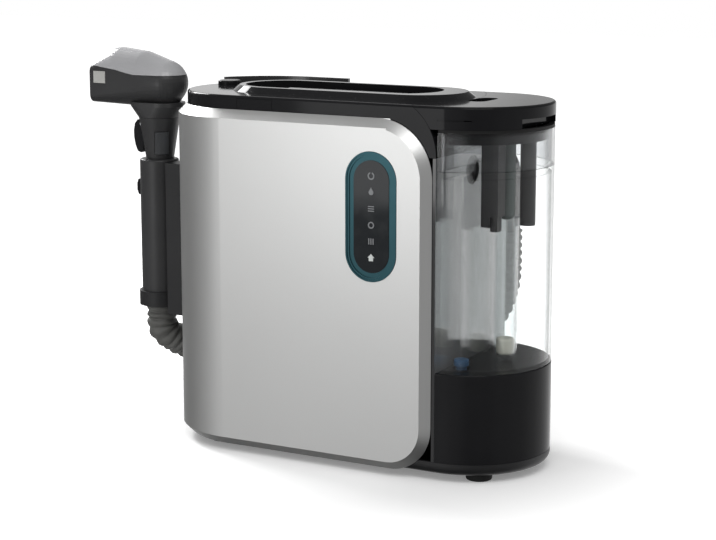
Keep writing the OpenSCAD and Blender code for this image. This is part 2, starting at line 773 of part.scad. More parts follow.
// Pump in the plinth
module pump() {
    px = right_x + 38;
    color("#7a7f86") {
        translate([px - 26, -18, tray_z + cover_wall]) cube([46, 36, 14]);
        translate([px - 24, 0, tray_z + 38]) rotate([0, 90, 0]) cylinder(d = 34, h = 34);
        translate([px - 20, -17, tray_z + cover_wall + 13]) cube([26, 34, 26]);
        translate([px + 10, 0, tray_z + 38]) rotate([0, 90, 0]) cylinder(d = 20, h = 16);
        translate([px - 30, 0, tray_z + 38]) rotate([0, 90, 0]) cylinder(d = 9, h = 10);
    }
    // riser to the tank's valve
    color("#7a7f86") {
        translate([valve_x, valve_y, tray_z + 30]) cylinder(d = 8, h = plinth_top - 7 - seam - tray_z - 30);
        translate([valve_x, valve_y, tray_z + cover_wall]) cylinder(d = 14, h = 30);
    }
}

boiler_x = -140;
// Boiler: an upright aluminium block with fins, on a stand
module boiler() {
    color("#b7babd") {
        translate([boiler_x, 0, 60]) cylinder(d = 52, h = 110);
        for (k = [0 : 7]) translate([boiler_x, 0, 70 + k * 12]) cylinder(d = 60, h = 3);
        translate([boiler_x, 0, tray_z + cover_wall]) cylinder(d = 40, h = 60);
        translate([boiler_x, 0, 168]) cylinder(d = 14, h = 12);
    }
}

// Steam line from the boiler to the hose socket: upright, then across behind the duct
module steam_line() {
    y = 52;
    z = socket_z;
    d = 7;
    color("#d8d2c4") {
        translate([boiler_x, 0, 180.3]) cylinder(d = d, h = z - 180.3 - 12);
        translate([boiler_x, 12, z - 12]) rotate([0, 90, 0]) rotate([0, 0, 180])
            rotate_extrude(angle = 90) translate([12, 0]) circle(d = d, $fn = 32);
        translate([boiler_x, 12, z]) rotate([-90, 0, 0]) cylinder(d = d, h = y - 24);
        translate([boiler_x + 12, y - 12, z]) rotate_extrude(angle = 90, start = 90) translate([12, 0]) circle(d = d, $fn = 32);
        translate([boiler_x + 12, y, z]) rotate([0, 90, 0]) cylinder(d = d, h = socket_x - 12 - boiler_x - 12);
        translate([socket_x - 12, y + 12, z]) rotate_extrude(angle = 90, start = -90) translate([12, 0]) circle(d = d, $fn = 32);
    }
}

// Louvred panel over the air outlet
module exhaust_grille() {
    frame = 5;
    slats = 9;
    step = (grille_h - 2 * frame) / slats;
    color("#232426") translate([grille_x, 0, grille_z]) {
        difference() {
            translate([seam, core_r - cover_wall, seam]) cube([grille_w - 2 * seam, cover_wall + 1, grille_h - 2 * seam]);
            translate([frame, core_r - 10, frame]) cube([grille_w - 2 * frame, 20, grille_h - 2 * frame]);
        }
        for (k = [0 : slats - 1]) translate([frame - 0.5, core_r - cover_wall / 2, frame + step * (k + 0.5)])
            rotate([-35, 0, 0]) translate([0, -2.4, -0.9]) cube([grille_w - 2 * frame + 1, 4.8, 1.8]);
        translate([grille_w / 2 - 1.5, core_r - cover_wall, frame - 1]) cube([3, cover_wall, grille_h - 2 * frame + 2]);
    }
}

module cover_screws() {
    color("#8f9296") for (p = screw_at) translate([p[0], 0, p[1]]) difference() {
        union() {
            translate([0, core_r - cover_wall + 1 + 0.1, 0]) rotate([-90, 0, 0]) cylinder(d = screw_d, h = 1.6);
            translate([0, core_r - cover_wall - 9, 0]) rotate([-90, 0, 0]) cylinder(d = 4, h = 11);
        }
        for (a = [0, 90]) rotate([0, a, 0]) translate([-2.4, core_r - 1, -0.5]) cube([4.8, 3, 1]);
    }
}

// Gland that the mains lead goes into
module cord_inlet() {
    color("#151617") translate([inlet_x, core_r, inlet_z]) rotate([-90, 0, 0]) difference() {
        union() {
            translate([0, 0, -cover_wall - 3]) cylinder(d = 14, h = cover_wall + 3.1);
            rotate_extrude() edge_profile(10, 0.1, 7, 2.5, 0);
        }
        translate([0, 0, -10]) cylinder(d = 7.5, h = 30);
    }
}

// Hook behind the top, which follows the round end. Its edge shows over the top cover.
hook_x1 = -64;
hook_out = 13;
hook_turn = 60;
hook_wall = 4;
hook_rise = 5;

// Outline of a band that follows the back of the body and its round end
module hook_band(r0, r1) {
    translate([left_x, r0]) square([hook_x1 - left_x, r1 - r0]);
    translate([left_x, 0]) intersection() {
        difference() {
            circle(r1, $fn = 128);
            circle(r0, $fn = 128);
        }
        polygon([[0, 0], [0, 200], [-200 * tan(hook_turn), 200]]);
    }
}

module upper_hook() {
    lip_r = core_r + hook_out - hook_wall;
    arm_z = cover_z - 28;
    color("#1a1b1d") {
        translate([0, 0, arm_z]) linear_extrude(6) hook_band(core_r + 0.2, core_r + hook_out);
        // foot on the rear cover
        translate([left_x + 2, core_r + 0.2, arm_z - 22]) cube([hook_x1 - left_x - 2, hook_wall, 24]);
        translate([0, 0, arm_z]) linear_extrude(body_h + hook_rise - arm_z) hook_band(lip_r, lip_r + hook_wall);
    }
}

// Two cradles that carry the hose along the back
module hose_cradles() {
    r = hose_d / 2 + hose_gap;
    w = 14;
    color("#1f2022") for (x = cradle_x) {
        y = back_y(x);
        z = back_z(x);
        translate([x - w / 2, 0, 0]) rotate([90, 0, 90]) linear_extrude(w) {
            difference() {
                union() {
                    translate([y, z]) circle(r + cradle_ring, $fn = 96);
                    translate([core_r + 0.2, z - r - cradle_ring]) square([y - core_r, 12]);
                    translate([core_r + 0.2, z - r - cradle_ring]) square([cradle_ring, 2 * r]);
                }
                translate([y, z]) circle(r, $fn = 96);
                translate([y - r, z + 4]) square([80, 40]);
                // flat against the rear cover
                translate([0, z - 2 * r]) square([core_r + 0.2, 4 * r]);
            }
        }
    }
}

// Round boss on the rear cover that the elbow plugs into
module hose_socket() {
    reach = hose_y + 22 - core_r;
    color("#1d1e20") difference() {
        union() {
            translate([socket_x, core_r + 0.2, socket_z]) rotate([-90, 0, 0]) {
                rotate_extrude() edge_profile(24, 0, reach, 6, 0);
                rotate_extrude() edge_profile(28, 0, 5, 2, 0);
                translate([0, 0, -cover_wall - 8]) cylinder(d = socket_pin_d, h = 20);
            }
            translate([socket_x, hose_y, socket_z]) rotate([0, 90, 0]) cylinder(d = 33, h = socket_mouth);
        }
        translate([socket_x + socket_mouth - 11, hose_y, socket_z]) rotate([0, 90, 0]) cylinder(d = pipe_d + 0.6, h = 60);
        translate([socket_x, hose_y, socket_z]) rotate([0, 90, 0]) cylinder(d = pipe_bore, h = 60);
        translate([socket_x, core_r - cover_wall - 10, socket_z]) rotate([-90, 0, 0])
            cylinder(d = pipe_bore, h = hose_y - core_r + 12);
    }
}

// Elbow from the socket down to the hose's end cuff, with its plug in the socket
module hose_elbow() {
    corner_x = elbow_x - elbow_r;
    mouth = socket_x + socket_mouth + seam;
    plug_x = mouth - 10;
    color("#202123") difference() {
        union() {
            translate([corner_x, hose_y, end_cuff_z1]) rotate([90, 0, 0])
                rotate_extrude(angle = 90) translate([elbow_r, 0]) circle(d = pipe_d);
            translate([mouth, hose_y, socket_z]) rotate([0, 90, 0]) cylinder(d = pipe_d + 4, h = corner_x - mouth + 2);
            translate([plug_x, hose_y, socket_z]) rotate([0, 90, 0]) cylinder(d = pipe_d - 0.4, h = 12);
        }
        translate([corner_x, hose_y, end_cuff_z1]) rotate([90, 0, 0])
            rotate_extrude(angle = 90) translate([elbow_r, 0]) circle(d = pipe_bore);
        translate([plug_x - cut, hose_y, socket_z]) rotate([0, 90, 0]) cylinder(d = pipe_bore + 1, h = corner_x - plug_x + 2);
    }
}

// Smooth cuff whose spigot sits in the end of the hose
module hose_end_cuff() {
    top = end_cuff_z1 - seam;
    color("#1f2123") translate([elbow_x, hose_y, 0]) difference() {
        union() {
            rotate_extrude() edge_profile(pipe_d / 2, end_cuff_z0 + seam, top, 0, 1);
            rotate_extrude() edge_profile(pipe_d / 2 + 1.8, top - 9, top, 1.2, 1.2);
            translate([0, 0, end_cuff_z0 - 22]) cylinder(d = hose_bore_d * cos(22.5) - 0.6, h = 30);
        }
        translate([0, 0, end_cuff_z0 - 30]) cylinder(d = pipe_bore, h = 120);
    }
}

// Hose: points of a smooth line through the route, spaced evenly, with two rings to a rib
function curve_point(a, b, c, d, t) = 0.5 * (2 * b + (c - a) * t + (2 * a - 5 * b + 4 * c - d) * t * t
    + (3 * b - a - 3 * c + d) * t * t * t);
function route_at(i) = route[min(max(i, 0), len(route) - 1)];
fine = 8;
fine_points = [
    for (i = [0 : len(route) - 2], k = [0 : fine - 1])
        curve_point(route_at(i - 1), route_at(i), route_at(i + 1), route_at(i + 2), k / fine),
    route[len(route) - 1]
];
fine_len = [
    for (i = 0, s = 0; i < len(fine_points);
        s = s + (i + 1 < len(fine_points) ? norm(fine_points[i + 1] - fine_points[i]) : 0), i = i + 1) s
];
function table_of(k) = [for (i = [0 : len(fine_points) - 1]) [fine_len[i], fine_points[i][k]]];
table_x = table_of(0);
table_y = table_of(1);
table_z = table_of(2);
hose_len = fine_len[len(fine_len) - 1];
ring_count = 2 * floor(hose_len / rib_step);
function along(s) = [lookup(s, table_x), lookup(s, table_y), lookup(s, table_z)];
ring_points = [for (i = [0 : ring_count]) along(hose_len * i / ring_count)];
function ring_dir(i) = let (a = ring_points[max(i - 1, 0)], b = ring_points[min(i + 1, ring_count)]) (b - a) / norm(b - a);
function flat_to(v, t) = let (w = v - (v * t) * t) w / norm(w);
ring_side = [for (i = 0, n = flat_to([1, 0, 0], ring_dir(0)); i <= ring_count;
    i = i + 1, n = flat_to(n, ring_dir(min(i, ring_count)))) n];
sides = 8;
function ring(i, r) = [for (k = [0 : sides - 1]) let (a = 360 * k / sides)
    ring_points[i] + r * (cos(a) * ring_side[i] + sin(a) * cross(ring_dir(i), ring_side[i]))];
function rib_r(i) = (i % 2 == 0 ? hose_d : hose_valley_d) / 2;
// Height and distance of the hose's axis at a given X, along the back
function back_z(x) = lookup(x, [for (p = fine_points) if (p[1] > 90 && p[0] < 60) [p[0], p[2]]]);
function back_y(x) = lookup(x, [for (p = fine_points) if (p[1] > 90 && p[0] < 60) [p[0], p[1]]]);

module hose() {
    n = ring_count;
    outer = [for (i = [0 : n]) each ring(i, rib_r(i))];
    inner = [for (i = [0 : 2 : n]) each ring(i, hose_bore_d / 2)];
    m = len(inner) / sides - 1;
    first = len(outer);
    function at(base, i, k) = base + i * sides + k % sides;
    color("#26282a") polyhedron(
        points = concat(outer, inner),
        faces = concat(
            [for (i = [0 : n - 1], k = [0 : sides - 1]) each [
                [at(0, i, k), at(0, i + 1, k), at(0, i + 1, k + 1)],
                [at(0, i, k), at(0, i + 1, k + 1), at(0, i, k + 1)]]],
            [for (i = [0 : m - 1], k = [0 : sides - 1]) each [
                [at(first, i, k + 1), at(first, i + 1, k + 1), at(first, i + 1, k)],
                [at(first, i, k + 1), at(first, i + 1, k), at(first, i, k)]]],
            [for (k = [0 : sides - 1]) each [
                [at(0, 0, k + 1), at(first, 0, k + 1), at(first, 0, k)],
                [at(0, 0, k + 1), at(first, 0, k), at(0, 0, k)]]],
            [for (k = [0 : sides - 1]) each [
                [at(0, n, k), at(first, m, k), at(first, m, k + 1)],
                [at(0, n, k), at(first, m, k + 1), at(0, n, k + 1)]]]
        ));
}

// Dock: a channel up the left end with a round cup for the foot of the tool
module dock() {
    slot = hose_d / 2 + 0.8;
    base_z = cup_z - 6;
    color("#1c1d1f") difference() {
        union() {
            translate([dock_face, -dock_half, base_z]) cube([left_x - core_r + 10 - dock_face, 2 * dock_half, 156]);
            translate([tool_x, 0, cup_z]) cylinder(r = grip_r + 0.4 + cup_wall_r, h = cup_top - cup_z, $fn = 128);
            translate([dock_face - 3, -dock_half + 4, base_z]) cube([6, 2 * dock_half - 8, cup_floor - base_z]);
        }
        // body side, cut to the round end
        translate([left_x, 0, base_z - cut]) cylinder(r = core_r + 0.2, h = 200, $fn = 128);
        // hollow back of the channel
        translate([dock_face + 4, -dock_half + 4, base_z + 4]) cube([80, 2 * dock_half - 8, 138]);
        // room for the foot of the grip, and the hose's way out through the floor and the rear
        translate([tool_x, 0, cup_floor]) cylinder(r = grip_r + 0.4, h = 40, $fn = 128);
        translate([tool_x, 0, base_z - cut]) cylinder(r = slot, h = 20);
        translate([tool_x - slot, 0, base_z - cut]) cube([2 * slot, 60, 40]);
        for (z = dock_bolt_z) translate([dock_face - cut, 0, z]) rotate([0, 90, 0]) cylinder(d = 5, h = 60);
    }
    // heads of the two dock bolts
    color("#8f9296") for (z = dock_bolt_z) translate([dock_face + 4, 0, z]) rotate([0, 90, 0])
        cylinder(d = 4.8, h = left_x - core_r - dock_face + 2);
}

// Clear cup of the tank: half round in plan
module half_round(r, x0, z0, h) {
    intersection() {
        translate([right_x, 0, z0]) cylinder(r = r, h = h, $fn = 128);
        translate([x0, -r - cut, z0 - cut]) cube([r + 10, 2 * r + 2, h + 2 * cut]);
    }
}

module tank_cup() {
    z0 = plinth_top;
    color([0.85, 0.9, 0.92, 0.35]) difference() {
        union() {
            half_round(tank_r, cup_x, z0, collar_z - seam - z0);
            half_round(tank_r - collar_step, cup_x + collar_step, z0 + 10, cup_z1 - z0 - 10);
            // spigot round the outlet valve
            translate([valve_x, valve_y, z0 - 5]) cylinder(d = 16, h = 6);
        }
        half_round(tank_r - cup_wall, cup_x + cup_wall, z0 + cup_wall, collar_z - 10 - z0);
        half_round(tank_r - collar_step - cup_wall, cup_x + collar_step + cup_wall, z0 + cup_wall, body_h);
        translate([valve_x, valve_y, z0 - 6]) cylinder(d = 11, h = 20);
        // slot where the suction air leaves
        translate([cup_x - cut, 0, port_z]) rotate([0, 90, 0]) cylinder(d = 22, h = 12);
    }
}

module tank_collar() {
    color([0.25, 0.26, 0.28, 0.7]) difference() {
        half_round(tank_r, cup_x, collar_z, lid_z - 3 - collar_z);
        half_round(tank_r - collar_step + 0.15, cup_x + collar_step - 0.15, collar_z - cut, lid_z - collar_z);
    }
}

module tank_seal() {
    z0 = lid_z - 3;
    color("#0f0f10") difference() {
        half_round(tank_r - 0.4, cup_x + 0.4, z0, 3);
        half_round(tank_r - 6, cup_x + 6, z0 - cut, 10);
    }
}

// Block of the tank's lid: the body's round end, cut by the body's trim and bow
module lid_block(z0, z1, up) {
    difference() {
        intersection() {
            stadium_solid(left_x, right_x) edge_profile(core_r, z0, z1, up, 0);
            translate([seam_x, -100, z0 - cut]) cube([200, 200, 40]);
        }
        plate_y(-core_r - cut, core_r + cut) {
            translate([seam_x, seam_z]) circle(seam_r + seam, $fn = 128);
            translate([seam_x - 10, lid_z - 5]) square([10.5, 40]);
        }
        translate([bow_x, 0, lid_z - 2]) cylinder(r = bow_r + seam, h = 50, $fn = 192);
    }
}

// Lower part of the lid: it drops into the cup, holds the tubes and has a finger notch at the right end
module lid_frame() {
    collar = collar_step + cup_wall + 0.4;
    color("#161719") difference() {
        union() {
            lid_block(lid_z, lid_split, 0);
            difference() {
                half_round(tank_r - collar, cup_x + collar, lid_z - 14, 15);
                half_round(tank_r - collar - 2.6, cup_x + collar + 2.6, lid_z - 15, 15);
            }
        }
        translate([right_x + notch_in, -38, lid_z - cut]) cube([30, 76, 20]);
        // recess in the underside, where the tubes plug in
        intersection() {
            half_round(tank_r - collar - 2.6, cup_x + collar + 2.6, lid_z - cut, lid_recess + cut);
            translate([right_x, -100, 0]) cube([notch_in - 6, 200, 2 * body_h]);
        }
        // groove round the edge, under the lid's top
        difference() {
            half_round(core_r + 5, right_x - 60, lid_split - 0.9, 2);
            half_round(core_r - 0.8, right_x - 61, lid_split - 2, 4);
            translate([0, -100, 0]) cube([right_x + 1, 200, 2 * body_h]);
        }
    }
}

// Top of the lid, with a finger pocket that opens towards the grip bar
module tank_lid() {
    color("#161719") difference() {
        lid_block(lid_split, body_h, round_edge);
        translate([pocket_x, 0, lid_split - cut]) linear_extrude(40) stadium_up(18, 40);
        translate([right_x - 4, -12, lid_split - cut]) cube([15, 24, 40]);
    }
}

// Wall between the clean water and the waste
module tank_partition() {
    far_x = partition_x + partition_w - right_x;
    half = sqrt(pow(tank_r - collar_step - cup_wall - 0.2, 2) - pow(far_x, 2));
    color([0.8, 0.86, 0.88, 0.4])
        translate([partition_x, -half, plinth_top + cup_wall]) cube([partition_w, 2 * half, collar_z - 8 - plinth_top]);
}

module tank_valve() {
    color("#31587a") translate([valve_x, valve_y, 0]) {
        translate([0, 0, plinth_top - 7]) cylinder(d = 10.6, h = 16);
        translate([0, 0, plinth_top + cup_wall + 0.1]) rotate_extrude() edge_profile(7.2, 0, 6, 1.5, 0);
    }
}

// Black column that brings the waste in, with a hood at its lower end
module inlet_column() {
    x0 = right_x + 25;
    color("#1e2022") difference() {
        union() {
            translate([x0, -34, 246]) cube([17, 16, lid_z + lid_recess - 246]);
            translate([x0 + 8, -31, 232]) cube([7, 10, 20]);
            translate([x0 - 0, -34, 236]) cube([9, 16, 20]);
            // second column, behind
            translate([right_x + 47, 22, 232]) cylinder(d = 15, h = lid_z + lid_recess - 232);
        }
        translate([x0 + 2, -32, 248]) cube([13, 12, 60]);
        translate([x0 + 2, -32, 240]) cube([5, 12, 20]);
        translate([right_x + 47, 22, 231]) cylinder(d = 11, h = 80);
    }
}

// Grey green tube that the float closes, with a round end
module separator_tube() {
    color("#4f5a58") difference() {
        union() {
            translate([guide_x, 0, 246]) cylinder(d = 15, h = lid_z + lid_recess - 246);
            translate([guide_x, 0, 246]) sphere(d = 15);
        }
        translate([guide_x, 0, 230]) cylinder(d = 9, h = 80);
    }
}

// Clear guide with slots, in which the float rises
module float_guide() {
    z0 = plinth_top + cup_wall;
    color([0.9, 0.93, 0.95, 0.4]) difference() {
        union() {
            translate([guide_x, 0, z0]) cylinder(d = guide_d, h = guide_z1 - z0);
            translate([guide_x, 0, z0]) cylinder(d = guide_d + 2, h = 3);
            // bridge that joins the guide to the separator tube
            translate([guide_x, 0, guide_z1 - 6]) cylinder(d = guide_d + guide_bridge, h = 8);
        }
        translate([guide_x, 0, z0 + 4]) cylinder(d = guide_d - 2 * guide_wall, h = guide_z1 - 4 - z0 - 6);
        translate([guide_x, 0, z0 + 4]) cylinder(d = 15.6, h = 200);
        for (a = [0, 180]) translate([guide_x, 0, z0 + 10]) rotate([0, 0, a + 30])
            translate([4, -2.5, 0]) cube([12, 5, 16]);
    }
}

module tank_float() {
    d = guide_d - 2 * guide_wall - 2 * float_gap;
    z0 = plinth_top + cup_wall + 4 + 0.2;
    color("#e9e4d8") translate([guide_x, 0, 0]) rotate_extrude() edge_profile(d / 2, z0, z0 + float_h, 3, 3);
}

// Round grip. The wall is taken off for the hollow.
module grip_form(in) {
    edge = 2.2 - in / 2;
    translate([tool_x, 0, 0]) rotate_extrude($fn = 96) edge_profile(grip_r - in, grip_z0 + in, grip_z1 - in, edge, edge);
}

// Neck, a cone that widens up to the head
module neck_form(in) {
    translate([neck_x, 0, grip_z1]) cylinder(r1 = neck_r0 - in, r2 = neck_r1 - in, h = neck_top - grip_z1, $fn = 96);
}

// Room of the soft strip, an upright stadium let into the round of the grip
module strip_form(gap, out, in) {
    w = strip_w + 2 * gap;
    intersection() {
        translate([grip_x - 5, 0, (strip_z0 + strip_z1) / 2]) rotate([90, 0, 90])
            linear_extrude(12) stadium_up(w, strip_z1 - strip_z0 + 2 * gap);
        translate([tool_x, 0, strip_z0 - 5]) difference() {
            cylinder(r = grip_r + out, h = strip_z1 - strip_z0 + 10, $fn = 96);
            translate([0, 0, -cut]) cylinder(r = grip_r - in, h = 200, $fn = 96);
        }
    }
}

module grip_half(s) {
    color("#202123") difference() {
        union() {
            grip_form(0);
            translate([neck_x, 0, grip_z1 - 2]) cylinder(r = neck_r0, h = 3, $fn = 96);
            neck_form(0);
            translate([neck_x, 0, neck_top - 2]) cylinder(r = spigot_r, h = spigot_h + 2, $fn = 96);
        }
        grip_form(tool_wall);
        intersection() {
            neck_form(tool_wall);
            translate([-400, -100, grip_z1 + tool_wall]) cube([300, 200, neck_top - 2 * tool_wall - grip_z1]);
        }
        translate([neck_x, 0, neck_top - 7]) cylinder(r = spigot_r - 2.2, h = 40, $fn = 96);
        translate([neck_x, 0, grip_z1 - 10]) cylinder(d = 20, h = 20);
        // the other half
        translate([-400, s > 0 ? -100 : -0.05, 0]) cube([400, 100.05, 500]);
        // hole at the foot for the cuff
        translate([tool_x, 0, grip_z0 - cut]) cylinder(d = cuff_neck_d + 0.6, h = 10);
        strip_form(0.2, 5, 1.4);
        // slot for the trigger
        translate([grip_x - 10, -8.5, 276]) cube([24, 17, 37]);
        // slot for the steam switch
        translate([grip_x - 5, -5.3, switch_z - 0.4]) cube([10, 10.6, switch_h + switch_travel + 0.8]);
        // window for the release button
        translate([neck_x, 0, release_z0 - 0.4]) rotate([0, 0, release_turn])
            translate([8, -release_half - 0.35, 0]) cube([20, 2 * release_half + 0.7, release_z1 - release_z0 + 0.8]);
        // blind bore of the trigger pin
        translate([pin_x, pin_half, trigger_z]) rotate([90, 0, 0]) cylinder(d = pin_d, h = 2 * pin_half);
    }
}

module tool_grip_front() {
    grip_half(-1);
}

module tool_grip_rear() {
    grip_half(1);
}

// Outer form of the head, from the flat mouth to the round back
module head_form(in) {
    hull() {
        translate([mouth_x + 0.01, 0, 0]) for (s = [-1, 1], z = [337, 360])
            translate([0, s * (mouth_half - 8), z]) rotate([0, 90, 0]) cylinder(r = 8 - in, h = 3, $fn = 32);
        translate([mouth_x + 26.5, 0, 361.5]) sphere(r = head_r - in, $fn = 40);
        translate([tool_x - 17, 0, 358.8]) sphere(r = head_r - in, $fn = 40);
        translate([tool_x + 9, 0, 350.5]) sphere(r = head_r - in, $fn = 40);
        translate([tool_x + 10, 0, 344]) sphere(r = 19 - in, $fn = 40);
    }
}

// Foot of the head, which narrows down to the neck
module head_foot() {
    hull() {
        for (x = [tool_x - 8.5, tool_x + 7.5]) translate([x, 0, 327]) cylinder(r = 21.4, h = 4, $fn = 64);
        translate([neck_x, 0, neck_top + seam]) cylinder(r = neck_r1 + 0.3, h = 0.6, $fn = 64);
    }
}

// Line between the dark head and its light cover, seen from the front
module cover_line(up) {
    plate_y(-60, 60) polygon([[mouth_x - 20, 366.6 + up], [mouth_x + 6.5, 366.2 + up], [mouth_x + 32, 363.2 + up],
        [tool_x - 23.6, 360.3 + up], [tool_x - 14.5, 358.8 + up], [tool_x + 60, 358.8 + up], [tool_x + 60, 420],
        [mouth_x - 20, 420]]);
}

module tool_head() {
    color("#26282a") difference() {
        union() {
            head_form(0);
            head_foot();
        }
        cover_line(0);
        // nozzle channel, which turns down into the neck
        hull() {
            translate([mouth_x - 2, -mouth_half + 4, 334]) cube([2, 2 * mouth_half - 8, 22]);
            translate([mouth_x + 34, -10, 337]) cube([2, 20, 16]);
        }
        translate([mouth_x + 32, 0, 345]) rotate([0, 90, 0]) cylinder(d = 16, h = tool_x - mouth_x - 32);
        translate([tool_x - 3, 0, neck_top + 2]) cylinder(d = 16, h = 347 - neck_top - 2);
        // windows
        for (s = [-1, 1]) translate([mouth_x + 5, s * mouth_half - 2.5, 349]) cube([15, 5, 12.5]);
        // seat of the jet
        translate([mouth_x + 12, 0, jet_z]) rotate([0, 90, 0]) cylinder(d = 5.4, h = 18);
        translate([mouth_x - cut, 0, jet_z]) rotate([0, 90, 0]) cylinder(d = 3.8, h = 20);
        // the neck plugs in from below
        translate([neck_x, 0, neck_top - 5]) cylinder(r = spigot_r + 0.25, h = 5 + spigot_h + seam, $fn = 96);
    }
}

module tool_head_cover() {
    color("#b9bdc0") difference() {
        intersection() {
            head_form(0);
            cover_line(seam);
        }
        intersection() {
            head_form(3);
            cover_line(-5);
        }
    }
}

module tool_window() {
    color("#c8ccce") for (s = [-1, 1]) intersection() {
        translate([mouth_x + 5.2, s * mouth_half - 2.3, 349.2]) cube([14.6, 4.6, 12.1]);
        head_form(-0.4);
    }
}

module tool_jet() {
    color("#b08d4a") translate([mouth_x + 12.4, 0, jet_z]) rotate([0, 90, 0]) difference() {
        union() {
            cylinder(d = 5, h = 16);
            translate([0, 0, -5]) cylinder(d = 3.4, h = 6);
        }
        translate([0, 0, -6]) cylinder(d = 1.4, h = 12);
    }
}

module tool_strip() {
    color("#4a4c4e") strip_form(0, 0.15, 1.2);
}

module tool_cuff() {
    color("#1d1e20") translate([tool_x, 0, 0]) difference() {
        union() {
            rotate_extrude() edge_profile(cuff_r, cuff_z, grip_z0 - seam, 0, 1);
            translate([0, 0, cuff_z + 1]) cylinder(d = cuff_neck_d, h = cuff_top - cuff_z - 1);
        }
        translate([0, 0, cuff_z - cut]) cylinder(d = cuff_bore_d, h = 60);
    }
}

// Trigger under the head, on its pin
module tool_trigger() {
    color("#17181a") difference() {
        plate_y(-7.8, 7.8) {
            translate([pin_x, trigger_z]) circle(r = 4.4, $fn = 48);
            polygon([[pin_x - 2, trigger_z + 3.6], [pin_x - 10, trigger_z + 3.2], [pin_x - 13.4, trigger_z - 1],
                [pin_x - 14.8, trigger_z - 8], [pin_x - 14.6, trigger_z - 15], [pin_x - 13, trigger_z - 23],
                [pin_x - 10.4, trigger_z - 29], [pin_x - 6.5, trigger_z - 30.6], [pin_x - 3.5, trigger_z - 27],
                [pin_x - 1, trigger_z - 14], [pin_x + 4.2, trigger_z - 1]]);
        }
        translate([pin_x, 20, trigger_z]) rotate([90, 0, 0]) cylinder(d = pin_d + 0.2, h = 40);
    }
}

module trigger_pin() {
    color("#9da1a5") translate([pin_x, pin_half, trigger_z]) rotate([90, 0, 0]) cylinder(d = pin_d, h = 2 * pin_half);
}

// Button whose face follows the neck, with a flange that holds it behind the wall
module tool_release() {
    h = release_z1 - release_z0;
    color("#3b3e41") translate([neck_x, 0, 0]) rotate([0, 0, release_turn]) {
        intersection() {
            translate([8, -release_half, release_z0]) cube([30, 2 * release_half, h]);
            translate([0, 0, grip_z1]) cylinder(r1 = neck_r0 + 1.4, r2 = neck_r1 + 1.4, h = neck_top - grip_z1, $fn = 96);
        }
        translate([6.8, -release_half - 1, release_z0 + 0.4]) cube([2.4, 2 * release_half + 2, h - 0.8]);
    }
}

// Sliding key on the outside of the grip, with a flange behind the wall
module tool_switch() {
    z0 = switch_z;
    z1 = switch_z + switch_h;
    color("#17181a") {
        plate_y(-5, 5) polygon([[grip_x - 0.3, z0], [grip_x - 3.2, z0 + 0.6], [grip_x - 5, z0 + 5],
            [grip_x - 5, z1 - 5], [grip_x - 3.4, z1 - 0.6], [grip_x - 0.3, z1]]);
        translate([grip_x - 0.5, -4.6, z0 + 2]) cube([6, 9.2, switch_h - 4]);
        translate([grip_x + 4.4, -6.5, z0 + 2]) cube([2, 13, switch_h - 4]);
    }
}

placed() base_tray();
placed() feet();
placed() front_shell();
placed() rear_cover();
placed() side_panel();
placed() tank_plinth();
placed() top_cover();
placed() carry_handle();
placed() skirt_insert();
placed() power_button();
placed() power_switch();
placed() control_bezel();
placed() control_glass();
placed() control_icons();
placed() control_board();
placed() motor_casing();
placed() fan_rotor();
placed() fan_volute();
placed() suction_duct();
placed() pump();
placed() boiler();
placed() steam_line();
placed() exhaust_grille();
placed() cover_screws();
placed() cord_inlet();
placed() upper_hook();
placed() hose_cradles();
placed() hose_socket();
placed() hose_elbow();
placed() hose_end_cuff();
placed() hose();
placed() dock();
placed() tank_cup();
placed() tank_collar();
placed() tank_seal();
placed() lid_frame();
placed() tank_lid();
placed() tank_partition();
placed() tank_valve();
placed() inlet_column();
placed() separator_tube();
placed() float_guide();
placed() tank_float();
placed() tool_grip_front();
placed() tool_grip_rear();
placed() tool_head();
placed() tool_head_cover();
placed() tool_window();
placed() tool_jet();
placed() tool_strip();
placed() tool_cuff();
placed() tool_trigger();
placed() trigger_pin();
placed() tool_release();
placed() tool_switch();
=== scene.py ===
"""Looks of the steam spot cleaner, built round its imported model.

The camera, the light and the floor come first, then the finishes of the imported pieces, and then the one
piece that is made here, the ribbed hose. Places are in metres, in the model's own frame, except those
round the body's middle, which are in millimetres and go through place().
"""

import json
import math

import bpy
import numpy as np
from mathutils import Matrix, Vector


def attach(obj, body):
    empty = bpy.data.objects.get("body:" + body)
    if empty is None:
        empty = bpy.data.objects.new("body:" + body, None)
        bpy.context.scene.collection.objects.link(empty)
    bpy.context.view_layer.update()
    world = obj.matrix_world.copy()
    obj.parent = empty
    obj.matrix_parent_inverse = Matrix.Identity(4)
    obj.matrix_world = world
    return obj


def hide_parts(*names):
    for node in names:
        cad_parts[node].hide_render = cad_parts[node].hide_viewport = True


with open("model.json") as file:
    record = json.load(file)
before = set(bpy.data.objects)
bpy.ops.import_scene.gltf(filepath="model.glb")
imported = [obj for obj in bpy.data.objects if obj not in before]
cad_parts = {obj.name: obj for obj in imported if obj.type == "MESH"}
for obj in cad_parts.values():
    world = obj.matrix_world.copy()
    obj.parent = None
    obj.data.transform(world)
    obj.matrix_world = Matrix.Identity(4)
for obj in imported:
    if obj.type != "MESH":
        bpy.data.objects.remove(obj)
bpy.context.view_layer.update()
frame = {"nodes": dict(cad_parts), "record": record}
NODES = frame["nodes"]

# The model's middle, seen from the body's own middle, in millimetres
SHIFT = np.array([56.0, -16.8, 0.0])


def place(points):
    """Points in millimetres round the body's middle, as metres in the model's frame:
    (point + shift) / 1000."""
    return (np.asarray(points, float) + SHIFT) / 1000


# ---------------------------------------------------------------- shader sums


